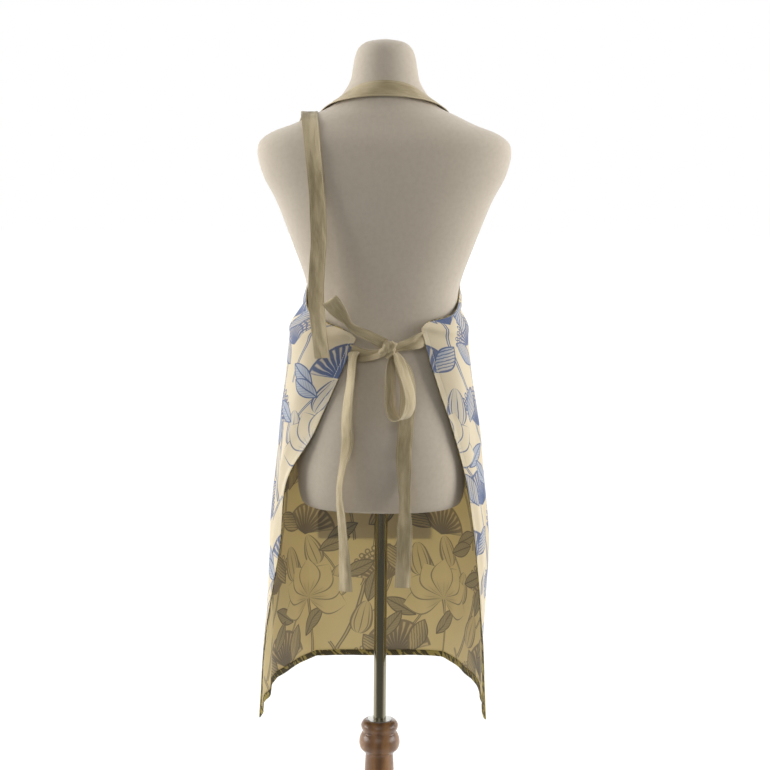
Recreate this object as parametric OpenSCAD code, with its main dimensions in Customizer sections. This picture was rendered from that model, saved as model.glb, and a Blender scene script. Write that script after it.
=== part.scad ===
// Apron worn on a torso form that stands on a pole in a turned wooden post.
// Millimetres. Origin on the floor under the pole's axis, +Z up.
// The wearer faces +Y, so the open back of the apron and its bow face -Y.

/* [Stand] */
// Height of the turned post's top above the floor
post_top = 400; // [380:5:420]
// Radius of the pole
pole_r = 10; // [8:0.5:10]
// Wall of the pole's tube
pole_wall = 1.5; // [1:0.25:3]
// Distance from the pole's axis to a foot's tip
foot_reach = 260; // [220:5:300]
// Thickness of a curved leg
leg_t = 24; // [18:1:30]

/* [Form] */
// Thickness of the hollow torso shell
shell_t = 5; // [4:1:8]
// Thickness of the jersey cover
cover_t = 1.2; // [0.8:0.1:2]
// Points round one ring of the torso
torso_sides = 36; // [24:4:48]

/* [Apron] */
// Thickness of the apron's cloth
cloth_t = 1.6; // [1:0.1:2]
// Width of the tape that makes the straps and ties
tape_w = 25; // [20:1:30]
// Thickness of the tape
tape_t = 1.2; // [0.8:0.1:2]
// How far the pocket's mouth stands off the apron
pocket_bulge = 13; // [9:1:16]

/* [Hidden] */
$fn = 48;

wood = "peru";
cloth = "cornsilk";
tape_colour = "tan";

pad_t = 5;                       // felt pad under each foot
post_foot = 62;                  // underside of the turned post
hub_top = 150;                   // top of the part of the post that carries the legs
hub_r = 34;
sleeve_r = 13;                   // outside of the steel bush in the post
run = 0.05;                      // radial clearance of a running fit
clamp_z = 300;                   // height of the clamp screw
clamp_r = 3;                     // radius of the clamp screw's shaft
insert_r = 4.5;                  // outside of the brass insert
pole_foot = 200;                 // lower end of the pole at rest
board_z = 756.5;                 // underside of the form's base board
board_t = 12;
fold_t = 1.2;                    // jersey folded under the board
socket_top = board_z + 154;      // the pole goes 150 mm into its socket
pole_top = socket_top - 5;
gap = 0.1;                       // clearance between sewn or stacked layers

// ---- curves ----

// one span of a Catmull-Rom curve
function span(a, b, c, d, u) =
    0.5 * (2 * b + (c - a) * u + (2 * a - 5 * b + 4 * c - d) * u * u
        + (3 * b - a - 3 * c + d) * u * u * u);

// the point at position u along a list, which may hold numbers or vectors
function at(list, u) =
    let (last = len(list) - 1, i = min(max(floor(u), 0), last - 1))
    span(list[max(i - 1, 0)], list[i], list[i + 1], list[min(i + 2, last)], u - i);

function unit(v) = v / norm(v);

// ---- torso ----

// height, half width, front depth, back depth
torso = [
    [755.3, 118, 80, 84], [761, 125, 87, 91], [778, 130, 93, 97], [803, 132, 97, 102],
    [836, 133, 98, 105], [890, 130, 97, 104], [966, 120, 92, 88], [1041, 114, 88, 76],
    [1100, 118.5, 92, 76], [1162, 140, 105, 82], [1226, 165, 110, 90], [1262, 184, 99, 93],
    [1290, 193, 87, 92], [1309, 194, 80, 90], [1321, 188, 74, 87], [1333, 170, 68, 82],
    [1345, 138, 62, 76], [1358, 111, 57, 70], [1370, 85, 54, 64], [1382, 72, 52, 59],
    [1394, 62, 50, 55], [1410, 53, 49, 50.5], [1430, 49, 48, 47], [1446, 46, 46, 44],
    [1460, 40, 40, 39], [1469, 27, 27, 26], [1473, 3, 3, 3]];
bust = 24;                       // how far the bust stands out
bust_x = 72;
bust_z = 1215;
rings_low = [0, 1, 2, 3.5, 5, 6, 7, 8, 9, 9.5, 10, 10.5];
rings_high = [for (i = [11:26]) i];
rings = concat(rings_low, rings_high);

function square_off(z) = z > 1382 ? 2 : 2.3;

// a point of the torso's surface, moved in by d
function torso_point(u, angle, d) =
    let (row = at(torso, u), n = square_off(row[0]), c = cos(angle), s = sin(angle),
        drop = d * min(max((row[0] - 1290) / 50, 0), 1),
        x = max(row[1] - d, 0.5) * sign(c) * pow(abs(c), 2 / n),
        depth = max((s > 0 ? row[2] : row[3]) - d, 0.5),
        swell = s > 0 ? bust * exp(-pow((abs(x) - bust_x) / 42, 2) - pow((row[0] - bust_z) / 45, 2)) : 0)
    [x, depth * sign(s) * pow(abs(s), 2 / n) + swell, row[0] - drop];

function torso_ring(u, d, low = 0) =
    [for (k = [0:torso_sides - 1])
        let (p = torso_point(u, 360 * k / torso_sides, d))
        [p[0], p[1], max(p[2], low)]];

// a fan of faces that closes the ring of points from start
function cap_faces(start, sides, up) =
    [for (k = [1:sides - 2]) up ? [start, start + k + 1, start + k] : [start, start + k, start + k + 1]];

// a hollow skin, open at the foot: outer rings upwards, then inner rings downwards
module skin_of(outer, inner, sides) {
    all = concat(outer, inner);
    count = len(all);
    turn = len(outer);
    polyhedron([for (r = all) each r],
        concat(cap_faces((turn - 1) * sides, sides, true), cap_faces(turn * sides, sides, false),
            [for (j = [0:count - 1]) for (k = [0:sides - 1])
                let (n = (j + 1) % count, a = j * sides + k, b = j * sides + (k + 1) % sides,
                    c = n * sides + k, d = n * sides + (k + 1) % sides)
                if (j != turn - 1) each [[a, c, b], [b, c, d]]]),
        convexity = 6);
}

// ---- tape ----

// a tape along hand-set points, each [x, y, z, and the way its width points]
module tape(path, width = tape_w, thick = tape_t, steps = 3) {
    n = (len(path) - 1) * steps;
    pts = [for (i = [0:n]) at(path, i / steps)];
    rows = [for (i = [0:n])
        let (p = [pts[i][0], pts[i][1], pts[i][2]],
            w = unit([pts[i][3], pts[i][4], pts[i][5]]),
            q = pts[min(i + 1, n)] - pts[max(i - 1, 0)],
            side = unit(w - (w * unit([q[0], q[1], q[2]])) * unit([q[0], q[1], q[2]])),
            up = cross(unit([q[0], q[1], q[2]]), side),
            a = side * width / 2, b = up * thick / 2)
        [p - a - b, p + a - b, p + a + b, p - a + b]];
    polyhedron([for (r = rows) each r],
        concat(cap_faces(0, 4, false), cap_faces(4 * n, 4, true),
            [for (i = [0:n - 1]) for (k = [0:3])
                let (a = 4 * i + k, b = 4 * i + (k + 1) % 4)
                each [[a, a + 4, b], [b, a + 4, b + 4]]]));
}

// ---- apron cloth ----

// Nine stations round the body in each row, from the left back edge round the front
// to the right back edge; rows from the top of the bib to the hem.
cloth_net = [
    [[-132, 90, 1236], [-106, 112, 1238], [-72, 132, 1240], [-36, 135, 1241], [0, 135, 1241],
        [36, 135, 1241], [72, 132, 1240], [106, 112, 1238], [132, 90, 1236]],
    [[-135, 58, 1172], [-120, 88, 1178], [-83, 118, 1183], [-42, 129, 1185], [0, 131, 1185],
        [42, 129, 1185], [83, 118, 1183], [120, 88, 1178], [135, 58, 1172]],
    [[-122, 38, 1112], [-113, 69, 1122], [-91, 107, 1130], [-46, 124, 1132], [0, 127, 1132],
        [46, 124, 1132], [88, 107, 1130], [113, 69, 1122], [123, 38, 1112]],
    [[-113, -42, 1058], [-127, 14, 1074], [-108, 84, 1084], [-54, 117, 1087], [0, 123, 1087],
        [52, 117, 1087], [102, 84, 1084], [126, 14, 1074], [113, -42, 1061]],
    [[-50, -82, 1030], [-116, -50, 1036], [-142, 24, 1041], [-85, 103, 1043], [0, 121, 1043],
        [82, 103, 1043], [131, 24, 1041], [110, -50, 1042], [63, -82, 1046]],
    [[-50, -83, 1006], [-119, -52, 1009], [-145, 24, 1013], [-87, 105, 1015], [0, 122, 1015],
        [84, 105, 1015], [133, 24, 1013], [112, -52, 1014], [63, -83, 1020]],
    [[-79, -84, 940], [-131, -52, 945], [-151, 24, 950], [-96, 110, 953], [0, 124, 954],
        [92, 110, 953], [139, 24, 950], [126, -54, 946], [88, -86, 942]],
    [[-109, -80, 874], [-146, -38, 878], [-158, 24, 881], [-106, 115, 884], [-2, 127, 884],
        [100, 115, 884], [149, 24, 881], [140, -38, 878], [111, -80, 876]],
    [[-144, -60, 800], [-161, -24, 801], [-165, 26, 802], [-114, 121, 803], [-5, 130, 803],
        [103, 121, 803], [157, 26, 802], [151, -26, 801], [133, -62, 800]],
    [[-156, -62, 690], [-173, -28, 691], [-175, 30, 692], [-121, 127, 693], [-8, 132, 693],
        [109, 127, 693], [167, 28, 692], [163, -28, 691], [148, -64, 690]],
    [[-176, -78, 560], [-178, -30, 562], [-171, 32, 565], [-119, 133, 567], [-8, 135, 568],
        [112, 133, 567], [161, 30, 565], [161, -28, 562], [158, -78, 560]],
    [[-183, -100, 436], [-181, -45, 447], [-168, 36, 457], [-108, 140, 463], [-10, 134, 465],
        [108, 141, 463], [151, 34, 457], [162, -42, 447], [165, -100, 436]]];
stations = len(cloth_net[0]) - 1;
hem_row = len(cloth_net) - 1;
waist_row = 4;                   // the row where the ties are sewn on
edge_w = 0.2;                    // width of a side hem, in stations
pocket_s = [3.15, 4.76];         // the pocket's sides, in stations
pocket_t = [7.35, 9.22];         // the pocket's mouth and bottom, in rows

function cloth_mid(s, t) = at([for (row = cloth_net) at(row, s)], t);

// a point of the cloth, moved off it by d, outwards where d is positive
function cloth_point(s, t, d) =
    let (e = 0.05, s0 = max(s - e, 0), s1 = min(s + e, stations),
        t0 = max(t - e, 0), t1 = min(t + e, hem_row))
    cloth_mid(s, t) + d * unit(cross(cloth_mid(s1, t) - cloth_mid(s0, t),
        cloth_mid(s, t1) - cloth_mid(s, t0)));

// a closed sheet from two lattices of the same size, the outer one first
module sheet_of(outer, inner) {
    rows = len(outer);
    cols = len(outer[0]);
    size = rows * cols;
    top = [for (j = [0:rows - 2]) for (i = [0:cols - 2])
        let (a = j * cols + i)
        each [[a, a + cols, a + 1], [a + 1, a + cols, a + cols + 1]]];
    rim = concat([for (i = [0:cols - 2]) [i, i + 1]],
        [for (j = [0:rows - 2]) [j * cols + cols - 1, (j + 1) * cols + cols - 1]],
        [for (i = [cols - 1:-1:1]) [(rows - 1) * cols + i, (rows - 1) * cols + i - 1]],
        [for (j = [rows - 1:-1:1]) [j * cols, (j - 1) * cols]]);
    polyhedron(concat([for (r = outer) each r], [for (r = inner) each r]),
        concat([for (f = top) [f[0], f[2], f[1]]],
            [for (f = top) [f[0] + size, f[1] + size, f[2] + size]],
            [for (e = rim) each [[e[0], e[0] + size, e[1]], [e[1], e[0] + size, e[1] + size]]]));
}

// a piece of cloth between two stations and two rows, from depth low to depth high
module cloth_patch(s, t, low, high, cols, rows) {
    lattice = [for (j = [0:rows]) [for (i = [0:cols])
        [s[0] + (s[1] - s[0]) * i / cols, t[0] + (t[1] - t[0]) * j / rows]]];
    sheet_of([for (r = lattice) [for (p = r) cloth_point(p[0], p[1], high)]],
        [for (r = lattice) [for (p = r) cloth_point(p[0], p[1], low)]]);
}

// how far the pocket stands off at a point across (0 to 1) and down (0 to 1)
function pocket_rise(across, down) =
    pocket_bulge * pow(max(sin(180 * across), 0), 0.7) * (1 - down * down);

module pocket_patch(low, high, down, cols, rows) {
    lattice = [for (j = [0:rows]) [for (i = [0:cols]) [i / cols, down * j / rows]]];
    function place(p, d) = cloth_point(pocket_s[0] + (pocket_s[1] - pocket_s[0]) * p[0],
        pocket_t[0] + (pocket_t[1] - pocket_t[0]) * p[1], d + pocket_rise(p[0], p[1]));
    sheet_of([for (r = lattice) [for (p = r) place(p, high)]],
        [for (r = lattice) [for (p = r) place(p, low)]]);
}

// ---- stand ----

// outline of the turned post, radius and height, from its foot to its domed top
post_outline = [[30, 62], [34, 68], [34, 150], [37, 156], [38, 162], [36, 168], [30, 172],
    [29, 178], [31, 190], [34, 206], [35, 222], [33, 240], [29, 258], [25.6, 276], [24, 292],
    [23.6, 316], [22.8, 332], [22.4, 345], [26, 349], [30.5, 354], [32.3, 360], [32.5, 365],
    [31.5, 371], [29, 377], [26.5, 381], [28, 384.5], [29.5, 389], [29.3, 393],
    [26, 398], [21, 400]];

module turned_post() color(wood)
    difference() {
        rotate_extrude($fn = 96)
            polygon(concat([[sleeve_r, post_foot]], post_outline, [[sleeve_r, post_top]]));
        for (a = [0:90:270]) rotate([0, 0, a]) {
            translate([hub_r - 4, -leg_t / 2 - 1, post_foot - 1])
                cube([10, leg_t + 2, hub_top - post_foot - 3]);
            translate([24, 0, post_foot - 1]) cylinder(r = 2, h = 22);
        }
        translate([0, 0, clamp_z]) rotate([-90, 0, 0]) cylinder(r = insert_r, h = 40);
    }

module post_sleeve() color("silver")
    difference() {
        union() {
            translate([0, 0, post_foot + 3]) cylinder(r = sleeve_r, h = post_top - post_foot - 3);
            translate([0, 0, post_top]) cylinder(r = 19, h = 1.5);
        }
        translate([0, 0, post_foot]) cylinder(r = pole_r + run, h = post_top);
        translate([0, 0, clamp_z]) rotate([-90, 0, 0]) cylinder(r = clamp_r + 0.5, h = 40);
    }

// side view of a leg that leaves the hub level and comes down to its foot
leg_top = [[hub_r - 4, 144], [60, 143], [100, 132], [140, 110], [180, 80], [215, 50], [240, 33], [260, 24]];
leg_under = [[260, 5], [226, 5], [205, 16], [170, 45], [130, 74], [90, 92], [58, 90], [44, 62],
    [hub_r - 4, 62]];
reach_scale = (foot_reach - hub_r) / (260 - hub_r);
function leg_line(list) = [for (i = [0:0.25:len(list) - 1])
    let (p = at(list, i)) [hub_r - 4 + (p[0] - hub_r + 4) * reach_scale, p[1]]];

module leg(turn) color(wood)
    rotate([0, 0, turn])
        difference() {
            translate([0, leg_t / 2, 0]) rotate([90, 0, 0])
                linear_extrude(leg_t) polygon(concat(leg_line(leg_top),
                    [for (p = leg_line(leg_under)) [p[0], max(p[1], p[0] < 55 ? post_foot : pad_t)]]));
            translate([39, 0, post_foot - 1]) cylinder(r = 2, h = 18);
        }

module leg_front() leg(90);
module leg_back() leg(270);
module leg_left() leg(180);
module leg_right() leg(0);

module leg_plate() color("dimgray")
    difference() {
        translate([0, 0, post_foot - 3]) {
            cylinder(r = 30, h = 3);
            for (a = [0, 90]) rotate([0, 0, a]) translate([-46, -8, 0]) cube([92, 16, 3]);
        }
        for (a = [0:90:270]) for (x = [24, 39]) rotate([0, 0, a])
            translate([x, 0, post_foot - 4]) cylinder(r = 2, h = 5);
    }

module plate_screws() color("silver")
    for (a = [0:90:270]) for (x = [24, 39]) rotate([0, 0, a]) translate([x, 0, 0]) {
        translate([0, 0, post_foot - 3]) cylinder(r = 2, h = 18);
        translate([0, 0, post_foot - 5.5]) cylinder(r1 = 3, r2 = 3.8, h = 2.5);
    }

module foot_pads() color("gray")
    for (a = [0:90:270]) rotate([0, 0, a]) translate([foot_reach - 18, 0, 0]) cylinder(r = 12, h = pad_t);

module clamp_insert() color("goldenrod")
    translate([0, 0, clamp_z]) rotate([-90, 0, 0])
        difference() {
            translate([0, 0, sleeve_r + 1]) cylinder(r = insert_r, h = 13);
            cylinder(r = clamp_r + run, h = 40);
        }

module clamp_screw() color("silver")
    translate([0, 0, clamp_z]) rotate([-90, 0, 0]) {
        translate([0, 0, pole_r + 0.4]) cylinder(r = clamp_r, h = 24);
        translate([0, 0, 34]) cylinder(r = 6, h = 5);
        translate([0, 0, 39])
            difference() {
                cylinder(r = 13, h = 11);
                for (a = [0:30:330]) rotate([0, 0, a]) translate([14.2, 0, -1]) cylinder(r = 2.4, h = 13);
            }
    }

// ---- pole ----

module pole_tube() color("gainsboro")
    difference() {
        translate([0, 0, pole_foot]) cylinder(r = pole_r, h = pole_top - pole_foot, $fn = 64);
        translate([0, 0, pole_foot - 1]) cylinder(r = pole_r - pole_wall, h = pole_top - pole_foot + 2, $fn = 64);
    }

module pole_end_plugs() color("black")
    for (e = [[pole_foot, 1], [pole_top, -1]])
        translate([0, 0, e[0]]) {
            translate([0, 0, e[1] > 0 ? 0 : -14]) cylinder(r = pole_r - pole_wall, h = 14);
            translate([0, 0, e[1] > 0 ? -2 : 0]) cylinder(r = pole_r - 0.2, h = 2);
        }

// ---- form ----

module socket_tube() color("silver")
    difference() {
        translate([0, 0, board_z - fold_t]) cylinder(r = 13, h = socket_top - board_z + fold_t);
        translate([0, 0, board_z - fold_t - 1]) cylinder(r = pole_r + run, h = socket_top - board_z + fold_t - 1);
    }

module socket_flange() color("silver")
    difference() {
        translate([0, 0, board_z - fold_t - 4]) cylinder(r = 36, h = 4);
        translate([0, 0, board_z - fold_t - 5]) cylinder(r = pole_r + 0.5, h = 6);
        for (a = [45:90:315]) rotate([0, 0, a]) translate([27, 0, board_z - fold_t - 5]) cylinder(r = 2, h = 6);
    }

module flange_screws() color("dimgray")
    for (a = [45:90:315]) rotate([0, 0, a]) translate([27, 0, board_z - fold_t]) {
        translate([0, 0, -4]) cylinder(r = 2, h = 13);
        translate([0, 0, -6.5]) cylinder(r1 = 3, r2 = 4, h = 2.5);
    }

module board_ply(u, inset, low, high)
    translate([0, 0, low]) linear_extrude(high - low)
        polygon([for (p = torso_ring(u, inset)) [p[0], p[1]]]);

module base_board() color("burlywood")
    difference() {
        union() {
            board_ply(0, 1, board_z, board_z + 5);
            board_ply(1, cover_t + 0.8, board_z + 5, board_z + board_t);
        }
        translate([0, 0, board_z - 1]) cylinder(r = 13, h = board_t + 2);
        for (a = [45:90:315]) rotate([0, 0, a]) translate([27, 0, board_z - 1]) cylinder(r = 2, h = 10);
    }

shell_foot = 1.5;                // where the shell starts, above the board
module torso_shell() color("ivory") {
    low = board_z + board_t + gap;
    top = len(torso) - 1;
    outer = [for (u = concat([shell_foot], [for (r = rings) if (r > shell_foot + 0.2) r]))
        torso_ring(u, cover_t + 0.4, low)];
    inner = [for (back = [3, 4, 6, 8, 9, 10, 11, 12, 13, 15, 16, 17, 19, 21])
        torso_ring(top - back, cover_t + 0.4 + shell_t, low)];
    foot = [torso_ring(shell_foot, cover_t + 0.4 + shell_t, low)];
    skin_of(outer, concat(inner, foot), torso_sides);
}

module jersey_cover() color("antiquewhite") {
    under = [for (p = torso_ring(1.2, 34)) [p[0], p[1], board_z - fold_t]];
    corner = [for (p = torso_ring(0, 0.4)) [p[0], p[1], board_z]];
    over = [for (p = under) [p[0], p[1], board_z]];
    skin_of(concat([under], [for (u = rings) torso_ring(u, 0)]),
        concat([for (i = [len(rings) - 1:-1:1]) torso_ring(rings[i], cover_t)], [corner, over]), torso_sides);
}

module cover_staples() color("silver")
    for (k = [0:2:torso_sides - 1]) {
        p = torso_point(1.2, 360 * (k + 0.5) / torso_sides, 24);
        translate([p[0], p[1], board_z - fold_t - 0.8])
            rotate([0, 0, atan2(p[1], p[0]) + 90]) translate([-5, -0.5, 0]) cube([10, 1, 0.8]);
    }

// ---- apron ----

half = cloth_t / 2;
under_hem = -half - gap - 1;

module apron_panel() color(cloth)
    cloth_patch([0, stations], [0, hem_row], -half, half, 36, 25);
module hem(s, t, cols, rows) color("steelblue") cloth_patch(s, t, under_hem, -half - gap, cols, rows);
module bottom_hem() hem([edge_w + 0.02, stations - edge_w - 0.02], [hem_row - 0.24, hem_row], 36, 1);
module side_hem_left() hem([0, edge_w], [waist_row + 1.02, hem_row], 1, 16);
module side_hem_right() hem([stations - edge_w, stations], [waist_row + 1.02, hem_row], 1, 16);
module armhole_hem_left() hem([0, edge_w], [0.42, waist_row - 0.02], 1, 12);
module armhole_hem_right() hem([stations - edge_w, stations], [0.42, waist_row - 0.02], 1, 12);
module bib_hem() hem([0.5, stations - 0.5], [0, 0.4], 20, 1);
module patch_pocket() color(cloth) pocket_patch(half + gap, half + gap + 1.2, 1, 12, 8);
module pocket_hem() color("steelblue") pocket_patch(half + 0.02 - 1.2, half + 0.02, 0.14, 12, 1);

// ---- neck strap ----

ring_x = -118;
module ring_tab() color(tape_colour)
    tape([[ring_x, 102, 1222, 0.8, 0.6, 0], [ring_x, 102.5, 1234, 0.8, 0.6, 0], [ring_x, 103, 1248, 0.8, 0.6, 0]],
        steps = 1);

// a wire ring with one straight side, standing in its own plane
module d_ring() {
    rotate([90, 0, 0]) rotate_extrude(angle = 180) translate([14, 0]) circle(r = 1.5, $fn = 24);
    translate([-14, 0, 0]) rotate([0, 90, 0]) cylinder(r = 1.5, h = 28, $fn = 24);
}
module d_rings() color("silver")
    for (d = [[105, 1251], [109, 1251]])
        translate([ring_x, d[0], d[1]]) rotate([-18, 0, 37]) d_ring();

// half of the run from the bib's corner round to the back of the neck
neck_run = [[117, 99, 1246, 0.8, -0.6, 0], [113, 93, 1270, 0.85, -0.5, 0.1], [107, 79, 1304, 0.9, -0.4, 0.1],
    [101, 61, 1336, 0.9, -0.3, 0.2], [93, 36, 1361, 0.85, -0.2, -0.3], [82, 2, 1376, 0.8, -0.3, -0.5],
    [64, -32, 1385, 0.6, -0.6, -0.6], [34, -52, 1394, 0.2, -0.5, -0.9], [0, -59, 1397, 0, -0.3, -1]];
function mirrored(p) = [-p[0], p[1], p[2], -p[3], p[4], p[5]];
strap_sewn = [[118, 101, 1218, 0.8, -0.6, 0]];
module neck_strap() color(tape_colour)
    tape(concat(strap_sewn, neck_run, [for (i = [7:-1:1]) mirrored(neck_run[i])]), steps = 2);

module neck_strap_return() color(tape_colour)
    tape([[-119, 110, 1268, -0.85, -0.5, 0], [-122, 98, 1290, -0.9, -0.4, 0], [-125, 78, 1320, -0.95, -0.3, 0],
        [-126, 46, 1349, -0.97, -0.2, 0], [-121, 14, 1360, -1, 0, 0], [-116, -20, 1362.5, -1, 0.05, 0]], steps = 2);

module neck_strap_tail() color(tape_colour)
    tape([[-116, -23, 1362, -1, 0.05, 0], [-115, -46, 1355, -1, 0.1, 0], [-111, -69, 1337, -1, 0.25, 0],
        [-106, -85, 1302, -1, 0.3, 0], [-101, -88, 1255, -1, 0.25, 0], [-98, -88, 1210, -1, 0.2, 0],
        [-97, -88, 1170, -1, 0.25, 0], [-99, -88, 1135, -1, 0.3, 0], [-100.5, -88, 1090, -1, 0.3, 0],
        [-97, -88, 1045, -1, 0.35, 0], [-91, -89, 994, -1, 0.4, 0]], steps = 2);

// ---- ties and bow ----

knot = [12, -94, 1009];

module waist_tie_left() color(tape_colour)
    tape([[-49, -84, 1008, 0, -0.1, -1], [-34, -88, 1004, 0, -0.3, -1], [-18, -90, 1002, 0, -0.2, -1],
        [-1.5, -93, 1004, 0, 0, -1]], width = 18, steps = 2);

module waist_tie_right() color(tape_colour)
    tape([[27, -92, 1013, 0, 0.1, -1], [38, -90, 1017, 0, -0.3, -1], [50, -87, 1021, 0, -0.2, -1],
        [62, -84, 1024, 0, 0, -1]], width = 20, steps = 2);

module bow_knot() color(tape_colour)
    hull() {
        translate(knot + [-6, 1, 9]) sphere(r = 7, $fn = 20);
        translate(knot + [9, 1, 0]) sphere(r = 8, $fn = 20);
        translate(knot + [-4, -2, -7]) sphere(r = 7, $fn = 20);
        translate(knot + [1, -4, 2]) sphere(r = 8, $fn = 20);
    }

module bow_loop_left() color(tape_colour)
    tape([[-6, -99, 1020, 0.5, 0, 1], [-26, -102, 1033, 0.5, 0, 1], [-50, -105, 1052, 0.6, -0.1, 1],
        [-77, -108, 1081, 0.5, -0.1, 1]], width = 22, thick = 5, steps = 2);

// the open loop hangs from the knot, its plane turned about the vertical
loop_path = [[5, 990], [15, 978], [23, 960], [27, 940], [23, 921], [11, 911], [-3, 914], [-10, 930],
    [-11, 952], [-8, 972], [-4, 985]];
loop_turn = 38;
module bow_loop_right() color(tape_colour)
    tape([for (p = loop_path)
        let (out = 4 + 18 * pow((996 - p[1]) / 84, 0.7))
        [20 + p[0] * 0.82, -103 - out - p[0] * 0.17, p[1], sin(loop_turn), cos(loop_turn), 0]],
        width = 21, steps = 2);

module tie_tail_left() color(tape_colour)
    tape([[-46.5, -93, 990, 0.55, -0.83, 0], [-48.5, -99, 950, 0.55, -0.83, 0], [-53, -108, 908, 0.68, -0.73, 0],
        [-53, -111, 868, 0.75, -0.66, 0], [-58, -115, 835, 0.6, -0.8, 0], [-63, -116, 805, 0.4, -0.9, 0],
        [-62, -113, 775, 0.5, -0.86, 0], [-58, -108, 729, 0.6, -0.8, 0], [-54.5, -104, 675, 0.75, -0.6, 0],
        [-53, -103, 636, 0.9, -0.4, 0]], steps = 2);

module tie_tail_right() color(tape_colour)
    tape([[24, -98, 988, 1, 0, 0], [31, -99, 960, 1, 0, 0], [36, -102, 930, 1, 0, 0],
        [35, -106, 900, 1, 0, 0], [33, -109, 860, 1, 0.05, 0], [32, -109, 800, 0.8, -0.5, 0],
        [35, -108, 756, 0.6, -0.8, 0], [33, -106, 714, 0.9, -0.3, 0], [31, -105, 645, 0.95, -0.2, 0]],
        steps = 2);

turned_post();
post_sleeve();
leg_front();
leg_back();
leg_left();
leg_right();
leg_plate();
plate_screws();
foot_pads();
clamp_insert();
clamp_screw();
pole_tube();
pole_end_plugs();
socket_tube();
socket_flange();
flange_screws();
base_board();
torso_shell();
jersey_cover();
cover_staples();
apron_panel();
bottom_hem();
side_hem_left();
side_hem_right();
armhole_hem_left();
armhole_hem_right();
bib_hem();
patch_pocket();
pocket_hem();
ring_tab();
d_rings();
neck_strap();
neck_strap_return();
neck_strap_tail();
waist_tie_left();
waist_tie_right();
bow_knot();
bow_loop_left();
bow_loop_right();
tie_tail_left();
tie_tail_right();
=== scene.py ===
# Apron worn on a jersey-covered torso form, on a pole in a turned post. Metres, +Z up.
# The camera stands at -Y and looks at the open back; left and right are as the camera sees them.
import math
import bpy
import bmesh
from mathutils import Matrix, Vector, noise


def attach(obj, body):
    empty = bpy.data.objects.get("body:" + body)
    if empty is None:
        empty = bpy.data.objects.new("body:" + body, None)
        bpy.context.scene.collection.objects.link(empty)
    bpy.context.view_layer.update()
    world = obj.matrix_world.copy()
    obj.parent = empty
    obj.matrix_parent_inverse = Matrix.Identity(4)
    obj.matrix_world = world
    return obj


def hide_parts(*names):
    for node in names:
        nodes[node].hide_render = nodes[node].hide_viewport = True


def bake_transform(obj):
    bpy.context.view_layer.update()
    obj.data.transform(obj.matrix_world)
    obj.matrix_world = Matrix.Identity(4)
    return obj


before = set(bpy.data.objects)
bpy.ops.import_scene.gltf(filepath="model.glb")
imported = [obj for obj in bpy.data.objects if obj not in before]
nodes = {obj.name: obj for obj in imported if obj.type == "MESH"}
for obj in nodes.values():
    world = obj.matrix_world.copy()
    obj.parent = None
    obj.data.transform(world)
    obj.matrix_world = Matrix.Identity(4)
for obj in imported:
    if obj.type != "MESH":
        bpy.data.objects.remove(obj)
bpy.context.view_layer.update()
print("frame loaded:", len(nodes), "nodes")

# ---------- camera, light and floor ----------

view = {"stand": (0.004, -2.5, 1.276), "tiltDown": 7.6, "roll": 0.5, "lens": 75.4, "sensor": 36.0}


def addCamera():
    lens = bpy.data.cameras.new("camera")
    lens.lens = view["lens"]
    lens.sensor_width = view["sensor"]
    camera = bpy.data.objects.new("camera", lens)
    turn = Matrix.Rotation(math.radians(90 - view["tiltDown"]), 4, "X")
    roll = Matrix.Rotation(math.radians(view["roll"]), 4, "Z")
    camera.matrix_world = Matrix.Translation(view["stand"]) @ turn @ roll
    bpy.context.scene.collection.objects.link(camera)
    bpy.context.scene.camera = camera


studio = {
    "floorSize": 60.0, "floorColour": (0.93, 0.93, 0.92),
    "lamps": [  # name, place, aim, size, watts
        ("leftRim", (-2.6, 0.05, 1.6), (0, 0, 1.0), 1.8, 58),
        ("rightRim", (2.6, -0.2, 1.6), (0, 0, 1.0), 1.8, 56),
        ("frontFill", (0.3, 3.2, 1.9), (0, 0, 0.9), 2.0, 25),
        ("backFill", (-0.5, -3.3, 2.4), (0, 0, 0.9), 2.2, 20)],
    "skyFront": (1.0, 1.0, 1.0), "skyBack": (0.16, 0.16, 0.155),
    "skyTurn": (-0.6, 0.3), "floorFade": (1.5, 4.0), "floorShade": (-1.0, 0.3)}


def addLamps():
    for name, place, aim, size, watts in studio["lamps"]:
        lamp = bpy.data.lights.new(name, "AREA")
        lamp.energy = watts
        lamp.size = size
        obj = bpy.data.objects.new(name, lamp)
        obj.location = place
        obj.rotation_euler = (Vector(aim) - Vector(place)).to_track_quat("-Z", "Y").to_euler()
        bpy.context.scene.collection.objects.link(obj)


# ---------- shader helpers ----------

class Num:
    # a socket that adds a Math node when it is used in an expression
    def __init__(self, tree, socket):
        self.tree, self.socket = tree, socket

    def join(self, operation, other, swap=False):
        pair = (other, self) if swap else (self, other)
        return self.tree.math(operation, *pair)

    def __add__(self, other): return self.join("ADD", other)
    __radd__ = __add__
    def __sub__(self, other): return self.join("SUBTRACT", other)
    def __rsub__(self, other): return self.join("SUBTRACT", other, True)
    def __mul__(self, other): return self.join("MULTIPLY", other)
    __rmul__ = __mul__
    def __truediv__(self, other): return self.join("DIVIDE", other)
    def __rtruediv__(self, other): return self.join("DIVIDE", other, True)
    def __pow__(self, other): return self.join("POWER", other)
    def __lt__(self, other): return self.join("LESS_THAN", other)
    def __gt__(self, other): return self.join("GREATER_THAN", other)
    def __abs__(self): return self.tree.math("ABSOLUTE", self)
    def __neg__(self): return self.join("MULTIPLY", -1)


def plain(value):
    return value.socket if isinstance(value, Num) else value


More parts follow.
